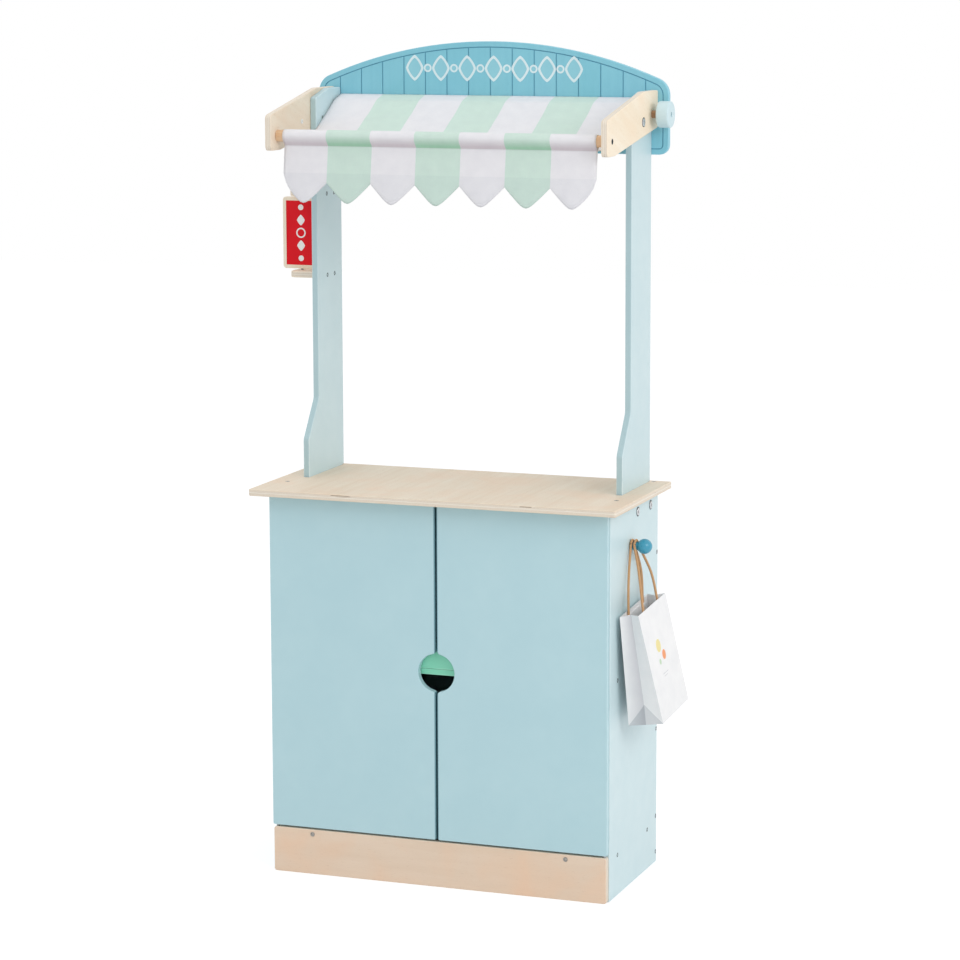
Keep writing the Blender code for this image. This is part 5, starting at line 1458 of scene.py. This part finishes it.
def boards():
    """Finishes of the boards, which keep the frame's own shapes."""
    door = ((187, 220, 227), (180, 215, 223), (203, 230, 236))
    post = ((202, 223, 227), (195, 218, 223), (222, 237, 240))
    # The side panels take a paler copy of the posts' paint, as painted light on their lit faces
    side = ((208, 229, 233), (201, 224, 229), (226, 240, 243))
    for word in ("left", "right"):
        meeting = box("door_" + word)[1 if word == "left" else 0].x
        dress("door_" + word, painted(f"door_{word}_paint", "door_" + word, *door, seam=meeting))
        dress("side_panel_" + word, painted(f"side_{word}_paint", "side_panel_" + word, *side))
        dress("post_" + word, painted(f"post_{word}_paint", "post_" + word, *post, rim=(226, 235, 237)))
        # The left bracket takes the darker counter veneer as painted shade on its inner face
        veneer = COUNTER_VENEER if word == "left" else CREAM_VENEER
        dress("bracket_" + word, plywood(
            f"bracket_{word}_ply", "bracket_" + word, "X", (22, 0, 90), veneer, along=4, across=50,
            blotches=0.5,
        ))
        steel = metal(f"strike_steel_{word}", (170, 172, 176), 0.3)
        dress("strike_disc_" + word, steel)
        dress("door_magnet_" + word, steel)
        for place in ("foot", "head"):
            dress(f"door_pin_{word}_{place}", steel)
    for place in ("lower", "upper"):
        dress("sign_holder_" + place, plywood(f"holder_{place}_ply", "sign_holder_" + place, "Z", layers=5))
        dress("sign_pin_" + place, metal(f"sign_pin_steel_{place}", (176, 178, 182), 0.25))
    dress("back_panel", painted("back_paint", "back_panel", *post))
    dress("bottom_panel", painted("bottom_paint", "bottom_panel", *post, 0.55))
    mint = ((138, 222, 190), (128, 214, 182), (170, 232, 208))
    dress("middle_shelf", painted("shelf_paint", "middle_shelf", *mint))
    dress("shelf_rail", painted("rail_paint", "shelf_rail", *mint))
    dress("countertop", plywood(
        "countertop_ply", "countertop", "Z", (0, 0, 90), COUNTER_VENEER, layers=5, along=2.2, across=42,
        blotches=0.75,
    ))
    dress("plinth", plywood(
        "plinth_ply", "plinth", "Y", veneer=PINK_VENEER, along=4, across=36, blotches=0.7,
    ))
    dress("arched_board", arched_board_finish())
    dress("flip_sign", sign_finish())

    def loops(g):
        tufts = g.noise(g.place(), 2600, 3)
        tone = g.mix(tufts, tint(236, 236, 234), tint(206, 208, 208))
        return {"Base Color": tone, "Roughness": 0.95, "Normal": g.bump(tufts, 0.0006)}
    dress("awning_fastening_strip", finish("hook_and_loop_tape", loops))


def bag_place():
    """Where the bag hangs: its mouth's middle and its lean."""
    back = Matrix.Rotation(math.radians(BAG_LEAN_BACK), 4, "X")
    out = Matrix.Rotation(-math.radians(BAG_LEAN_OUT), 4, "Y")
    return Matrix.Translation(BAG_MOUTH) @ back @ out


BAG_PLACE = bag_place()


def bag_half(axis, drop):
    """Half the bag's width along its X (0) or its Y (1), this far below the mouth."""
    share = drop / BAG_HEIGHT
    return (BAG_MOUTH_SIZE[axis] + (BAG_FOOT_SIZE[axis] - BAG_MOUTH_SIZE[axis]) * share) / 2


def bag_wall(around, drop, inset):
    """Point of the bag's wall: around counts sides from the front narrow one, and drop is below the mouth."""
    half_x = bag_half(0, drop) - inset
    half_y = bag_half(1, drop) - inset
    side = int(around)
    turn = 1 if side < 2 else -1
    across = 2 * (around - side) - 1
    if side in (0, 2):
        apex = BAG_HEIGHT - BAG_TRIANGLE
        if drop <= apex:
            deep = BAG_MOUTH_TUCK + (BAG_APEX_TUCK - BAG_MOUTH_TUCK) * drop / apex
            tuck = deep * (1 - abs(across))
        else:
            down = (drop - apex) / BAG_TRIANGLE
            deep = BAG_APEX_TUCK * (1 - down)
            tuck = deep * min(1, (1 - abs(across)) / max(1 - down, 0.0001))
        return Vector((turn * across * half_x, -turn * (half_y - tuck), -drop))
    share = drop / BAG_HEIGHT
    bow = math.sin(math.pi * share) * (1 - across ** 2)
    bulge = BAG_BULGE * bow + BAG_UNEVEN * bow * noise.noise((across * 2.5, share * 4, 5.0 + side))
    return Vector((turn * (half_x + bulge), turn * across * half_y, -drop))


def narrow_fold_shade(g, flat, colour):
    """Paper colour with painted shade on the narrow sides' tucks, pressed creases and turned foot triangles.
    """
    u, v, _ = g.split(flat)
    across = g.math("DIVIDE", g.math("MODULO", u, BAG_NARROW + BAG_WIDE), BAG_NARROW)
    narrow = g.math("LESS_THAN", across, 1)
    # Painted shade on each narrow side's left half, deepest at its middle crease
    tuck = g.math("MULTIPLY", g.math("LESS_THAN", across, 0.5), g.remap(across, 0, 0.5, 0.1, 1))
    colour = g.mix(g.math("MULTIPLY", narrow, tuck), colour, tint(214, 215, 219), "MULTIPLY")
    # Painted shade on the foot's turned triangles, and along their creases
    to_corner = g.math("ABSOLUTE", g.math("SUBTRACT", g.math("MULTIPLY", across, 2), 1))
    fold = g.math("ADD", g.math("MULTIPLY", to_corner, BAG_TRIANGLE), BAG_HEIGHT - BAG_TRIANGLE)
    below = g.math("SUBTRACT", g.math("MULTIPLY", v, -1), fold)
    turned = g.math("MULTIPLY", narrow, g.remap(below, 0, CREASE_REACH))
    colour = g.mix(turned, colour, tint(222, 225, 227), "MULTIPLY")
    pressed_shade = g.remap(g.math("ABSOLUTE", below), CREASE_HALF, CREASE_REACH, 0.5, 0)
    return g.mix(g.math("MULTIPLY", narrow, pressed_shade), colour, tint(170, 176, 182))


def bag_print(g, flat, colour):
    """Paper colour with three round spots and two lines on the outer wide side."""
    u, v, _ = g.split(flat)
    for along, level, radius, tone in PRINT_SPOTS:
        middle = (PRINT_MIDDLE + along, level, 0)
        spot = g.use(DISC, Place=flat, Middle=middle, Radius=radius)["Mask"]
        colour = g.mix(spot, colour, tint(*tone))
    for level, half in PRINT_LINES:
        wide = g.math("LESS_THAN", g.math("ABSOLUTE", g.math("SUBTRACT", u, PRINT_MIDDLE)), half)
        high = g.math("LESS_THAN", g.math("ABSOLUTE", g.math("SUBTRACT", v, level)), PRINT_LINE_HALF)
        line = g.math("MULTIPLY", g.math("MULTIPLY", wide, high), 0.5)
        colour = g.mix(line, colour, tint(170, 172, 180))
    return colour


def paper_finish(name, printed):
    """White bag paper, with painted shade on the bag's folds and with its print if printed is true."""
    def build(g):
        sheet = g.use(PAPER, Coordinates=g.place(), Colour=tint(246, 246, 246), Shade=tint(232, 233, 235))
        colour = sheet["Colour"]
        if printed:
            flat = g.cloth()
            colour = bag_print(g, flat, narrow_fold_shade(g, flat, colour))
        return {"Base Color": colour, "Roughness": 0.62, "Normal": g.bump(sheet["Height"], 0.0004)}
    return finish(name, build)


def bag_marks():
    """Where the bag's columns stand: how far round its four sides, and how far along its flat paper."""
    marks = []
    start = 0
    for side in range(4):
        count, width = ((NARROW_COLUMNS, BAG_NARROW), (WIDE_COLUMNS, BAG_WIDE))[side % 2]
        marks += [(side + step / count, start + width * step / count) for step in range(count)]
        start += width
    return marks + [(4 - ROUND_END, start)]


def creased(sheet, thickness):
    """The bag's sheet as one closed wall with sharp creases."""
    piece = thicken(welded(sheet), thickness, -1.0)
    piece.data.set_sharp_from_angle(angle=BAG_SHARP)
    return piece


def paper_bag():
    """Open paper bag with tucked sides and a folded foot, its turned-in top and its handles' patches."""
    marks = bag_marks()
    columns = len(marks) - 1

    def corner(column, row):
        around, u = marks[column]
        if row <= BAG_ROWS:
            drop = BAG_HEIGHT * row / BAG_ROWS
            point = bag_wall(around, drop, 0)
        else:
            drop = BAG_HEIGHT + BAG_FOOT_ROW * (row - BAG_ROWS)
            rim = bag_wall(around, BAG_HEIGHT, 0)
            share = 1 - (row - BAG_ROWS) / BAG_FOOT_ROWS
            point = Vector((rim.x * share, rim.y * share, -BAG_HEIGHT + BAG_FOOT_RISE * (1 - share)))
        return BAG_PLACE @ point, (u, -drop)

    paper = paper_finish("printed_white_paper", True)
    piece = creased(grid("bag_paper", columns, BAG_ROWS + BAG_FOOT_ROWS, corner, paper), BAG_PAPER)
    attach(piece, "bag")
    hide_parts("paper_bag")

    plain_paper = paper_finish("white_paper", False)

    def lip(column, row):
        around, u = marks[column]
        drop = LIP_TOP + (LIP_DEPTH - LIP_TOP) * row / LIP_ROWS
        return BAG_PLACE @ bag_wall(around, drop, BAG_PAPER + LIP_GAP), (u, -drop)

    turned = creased(grid("bag_turned_top", columns, LIP_ROWS, lip, plain_paper), LIP_PAPER)
    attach(turned, "bag")
    for word, side in (("inner", -1), ("outer", 1)):
        def patch(column, row, side=side):
            y = -PATCH_WIDTH / 2 + PATCH_WIDTH * column / PATCH_COLUMNS
            drop = PATCH_TOP + PATCH_HEIGHT * row / PATCH_ROWS
            cord = min(abs(y - HANDLE_SPREAD), abs(y + HANDLE_SPREAD))
            rise = 2 * HANDLE_RADIUS * (1 - smooth_share(cord, PATCH_RISE_START, PATCH_RISE_END))
            rise *= 1 - smooth_share(drop, CORD_END_START, CORD_END_END)
            wall = bag_half(0, drop) - 2 * BAG_PAPER - PATCH_GAP
            return BAG_PLACE @ Vector((side * (wall - rise), y, -drop)), (y, -drop)
        sheet = grid("bag_patch_" + word, PATCH_COLUMNS, PATCH_ROWS, patch, plain_paper)
        piece = thicken(sheet, PATCH_PAPER)
        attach(piece, "bag")


def welded(piece, end_sides=0):
    """Joins a sheet's meeting edges, closes open ends of up to end_sides, and points its faces outwards."""
    work = bmesh.new()
    work.from_mesh(piece.data)
    bmesh.ops.remove_doubles(work, verts=work.verts, dist=WELD)
    if end_sides:
        rims = [edge for edge in work.edges if edge.is_boundary]
        bmesh.ops.holes_fill(work, edges=rims, sides=end_sides)
    bmesh.ops.recalc_face_normals(work, faces=work.faces)
    work.to_mesh(piece.data)
    work.free()
    return piece


def handle_route(side, seat, middles):
    """Route of one handle, from inside the bag over the peg's shank and back, as in its solid."""
    wall_x = side * (BAG_MOUTH_SIZE[0] / 2 - BAG_SOLID_WALL - GAP - HANDLE_RADIUS)
    orbit = PEG_SHANK + GAP + HANDLE_RADIUS
    seat_x = PEG.x + seat
    legs = []
    for along, (back, up, share) in zip((-HANDLE_SPREAD, HANDLE_SPREAD), middles):
        foot = BAG_PLACE @ Vector((wall_x, along, -HANDLE_IN_BAG))
        rim = BAG_PLACE @ Vector((wall_x, along, 0))
        middle = Vector((rim.x + (seat_x - rim.x) * share, PEG.y + back, PEG.z + up))
        legs.append([foot, rim, middle])
    over = [Vector((seat_x, PEG.y - y, PEG.z + z)) for y, z in round_outline((0, 0), orbit, 10, 170, 9)]
    return legs[0] + over + legs[1][::-1]


def twisted_cord(name, route, material):
    """Twisted cord: a tube whose strands wind round it."""
    points = catmull(route, HANDLE_STEP)
    heading = (points[1] - points[0]).normalized()
    across = heading.orthogonal().normalized()
    run = 0.0
    rings = []
    for index, point in enumerate(points):
        ahead = (points[min(index + 1, len(points) - 1)] - points[max(index - 1, 0)]).normalized()
        across = (across - ahead * across.dot(ahead)).normalized()
        beside = ahead.cross(across)
        if index:
            run += (point - points[index - 1]).length
        ring = []
        for step in range(HANDLE_SIDES + 1):
            turn = 2 * math.pi * step / HANDLE_SIDES
            phase = turn * HANDLE_STRANDS - 2 * math.pi * HANDLE_STRANDS * run / HANDLE_TWIST
            radius = HANDLE_RADIUS * (1 - HANDLE_GROOVE * (0.5 - 0.5 * math.cos(phase)) ** 2)
            out = across * (radius * math.cos(turn)) + beside * (radius * math.sin(turn))
            ring.append((point + out, (step / HANDLE_SIDES * HANDLE_GIRTH, run)))
        rings.append(ring)
    tube = grid(name, len(rings) - 1, HANDLE_SIDES, lambda column, row: rings[column][row], material)
    return welded(tube, HANDLE_SIDES + 2)


def handles():
    """The bag's two twisted paper handles."""
    def build(g):
        u, v, _ = g.split(g.cloth())
        wound = g.math("SUBTRACT", g.math("DIVIDE", u, HANDLE_GIRTH), g.math("DIVIDE", v, HANDLE_TWIST))
        groove_shade = g.math("PINGPONG", g.math("MULTIPLY", wound, HANDLE_STRANDS), 0.5)
        fibre = g.noise(g.vector("MULTIPLY", g.join(wound, v, 0), (60, 120, 0)), 1, 3)
        tone = g.mix(g.remap(fibre, 0.3, 0.7), tint(220, 176, 130), tint(194, 146, 100))
        # Painted shade in the grooves between the twisted strands
        tone = g.mix(g.remap(groove_shade, 0.3, 0.5, 0, 0.6), tone, tint(150, 104, 72))
        return {"Base Color": tone, "Roughness": 0.75, "Normal": g.bump(fibre, 0.0002)}
    kraft = finish("brown_paper_cord", build)
    for name, (side, seat, middles) in HANDLES.items():
        piece = twisted_cord(name + "_cord", handle_route(side, seat, middles), kraft)
        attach(piece, "bag")
        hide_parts(name)


def cleared(owner):
    """Empty graph of a material or the world."""
    owner.use_nodes = True
    owner.node_tree.nodes.clear()
    return Graph(owner.node_tree)


def studio():
    """Pale floor, white surroundings and soft lamps."""
    mesh = bpy.data.meshes.new("floor")
    corners = [(x * FLOOR_HALF, y * FLOOR_HALF, 0) for x, y in ((-1, -1), (1, -1), (1, 1), (-1, 1))]
    mesh.from_pydata(corners, [], [(0, 1, 2, 3)])
    floor = new_object("floor", mesh)
    made = bpy.data.materials.new("floor_white")
    g = cleared(made)
    path = g.node("ShaderNodeLightPath").outputs
    seen = g.math("MAXIMUM", path["Is Camera Ray"], path["Is Glossy Ray"])
    grain = g.noise(g.place(), 3, 2)
    colour = g.mix(grain, tint(232, 232, 233), tint(228, 228, 229))
    matt = g.node("ShaderNodeBsdfDiffuse", {"Color": colour}).outputs[0]
    glow = g.node("ShaderNodeEmission", {"Color": (1, 1, 1, 1), "Strength": g.math("MULTIPLY", seen, 0.4)})
    both = g.node("ShaderNodeAddShader", {0: matt, 1: glow.outputs[0]}).outputs[0]
    g.node("ShaderNodeOutputMaterial", {0: both})
    mesh.materials.append(made)

    world = bpy.data.worlds.new("studio")
    bpy.context.scene.world = world
    g = cleared(world)
    path = g.node("ShaderNodeLightPath").outputs
    seen = g.math("MAXIMUM", g.math("MAXIMUM", path["Is Camera Ray"], path["Is Glossy Ray"]),
                  path["Is Transmission Ray"])
    strength = g.blend(seen, 0.80, 1.0)
    glow = g.node("ShaderNodeBackground", {"Color": (1, 1, 1, 1), "Strength": strength}).outputs[0]
    g.node("ShaderNodeOutputWorld", {0: glow})

    aim = Vector((0, 0.1, 0.75))
    lamps = {
        "key": ((3.2, -2.0, 2.5), 1.9, 33),
        "front_fill": ((2.2, -4.7, 2.3), 1.0, 2),
        "top": ((-0.9, -0.3, 2.9), 2.2, 6.5),
        "side": ((1.9, -0.3, 1.3), 1.2, 3.0),
    }
    for name, (place, size, power) in lamps.items():
        data = bpy.data.lights.new(name, "AREA")
        data.shape = "DISK"
        data.size = size
        data.energy = power
        lamp = bpy.data.objects.new(name, data)
        lamp.location = place
        lamp.rotation_mode = "QUATERNION"
        lamp.rotation_quaternion = (aim - Vector(place)).to_track_quat("-Z", "Y")
        bpy.context.scene.collection.objects.link(lamp)


def camera():
    """Camera at the photograph's viewpoint."""
    yaw, pitch, roll = (math.radians(a) for a in (CAMERA_YAW, CAMERA_PITCH, CAMERA_ROLL))
    ahead = Vector((-math.sin(yaw) * math.cos(pitch), math.cos(yaw) * math.cos(pitch), -math.sin(pitch)))
    level = Vector((math.cos(yaw), math.sin(yaw), 0))
    above = level.cross(ahead)
    right = level * math.cos(roll) - above * math.sin(roll)
    up = above * math.cos(roll) + level * math.sin(roll)
    data = bpy.data.cameras.new("camera")
    data.lens = LENS
    data.sensor_width = 36
    data.shift_y = SHIFT_UP
    data.clip_end = 60
    made = bpy.data.objects.new("camera", data)
    turn = Matrix((right, up, -ahead)).transposed().to_4x4()
    made.matrix_world = Matrix.Translation(CAMERA_PLACE) @ turn
    bpy.context.scene.collection.objects.link(made)
    bpy.context.scene.camera = made


camera()
studio()
boards()
awning_piece, awning_flat, awning_area = awning()
sewing = awning_stitches()
curtain_roll_piece, curtain_cloth_piece, curtain_sewing, curtain_flat = curtain()
turned_woods()
knobs()
peg()
ferrule()
fasteners()
ornaments()
paper_bag()
handles()
bpy.context.scene.view_settings.view_transform = "Standard"
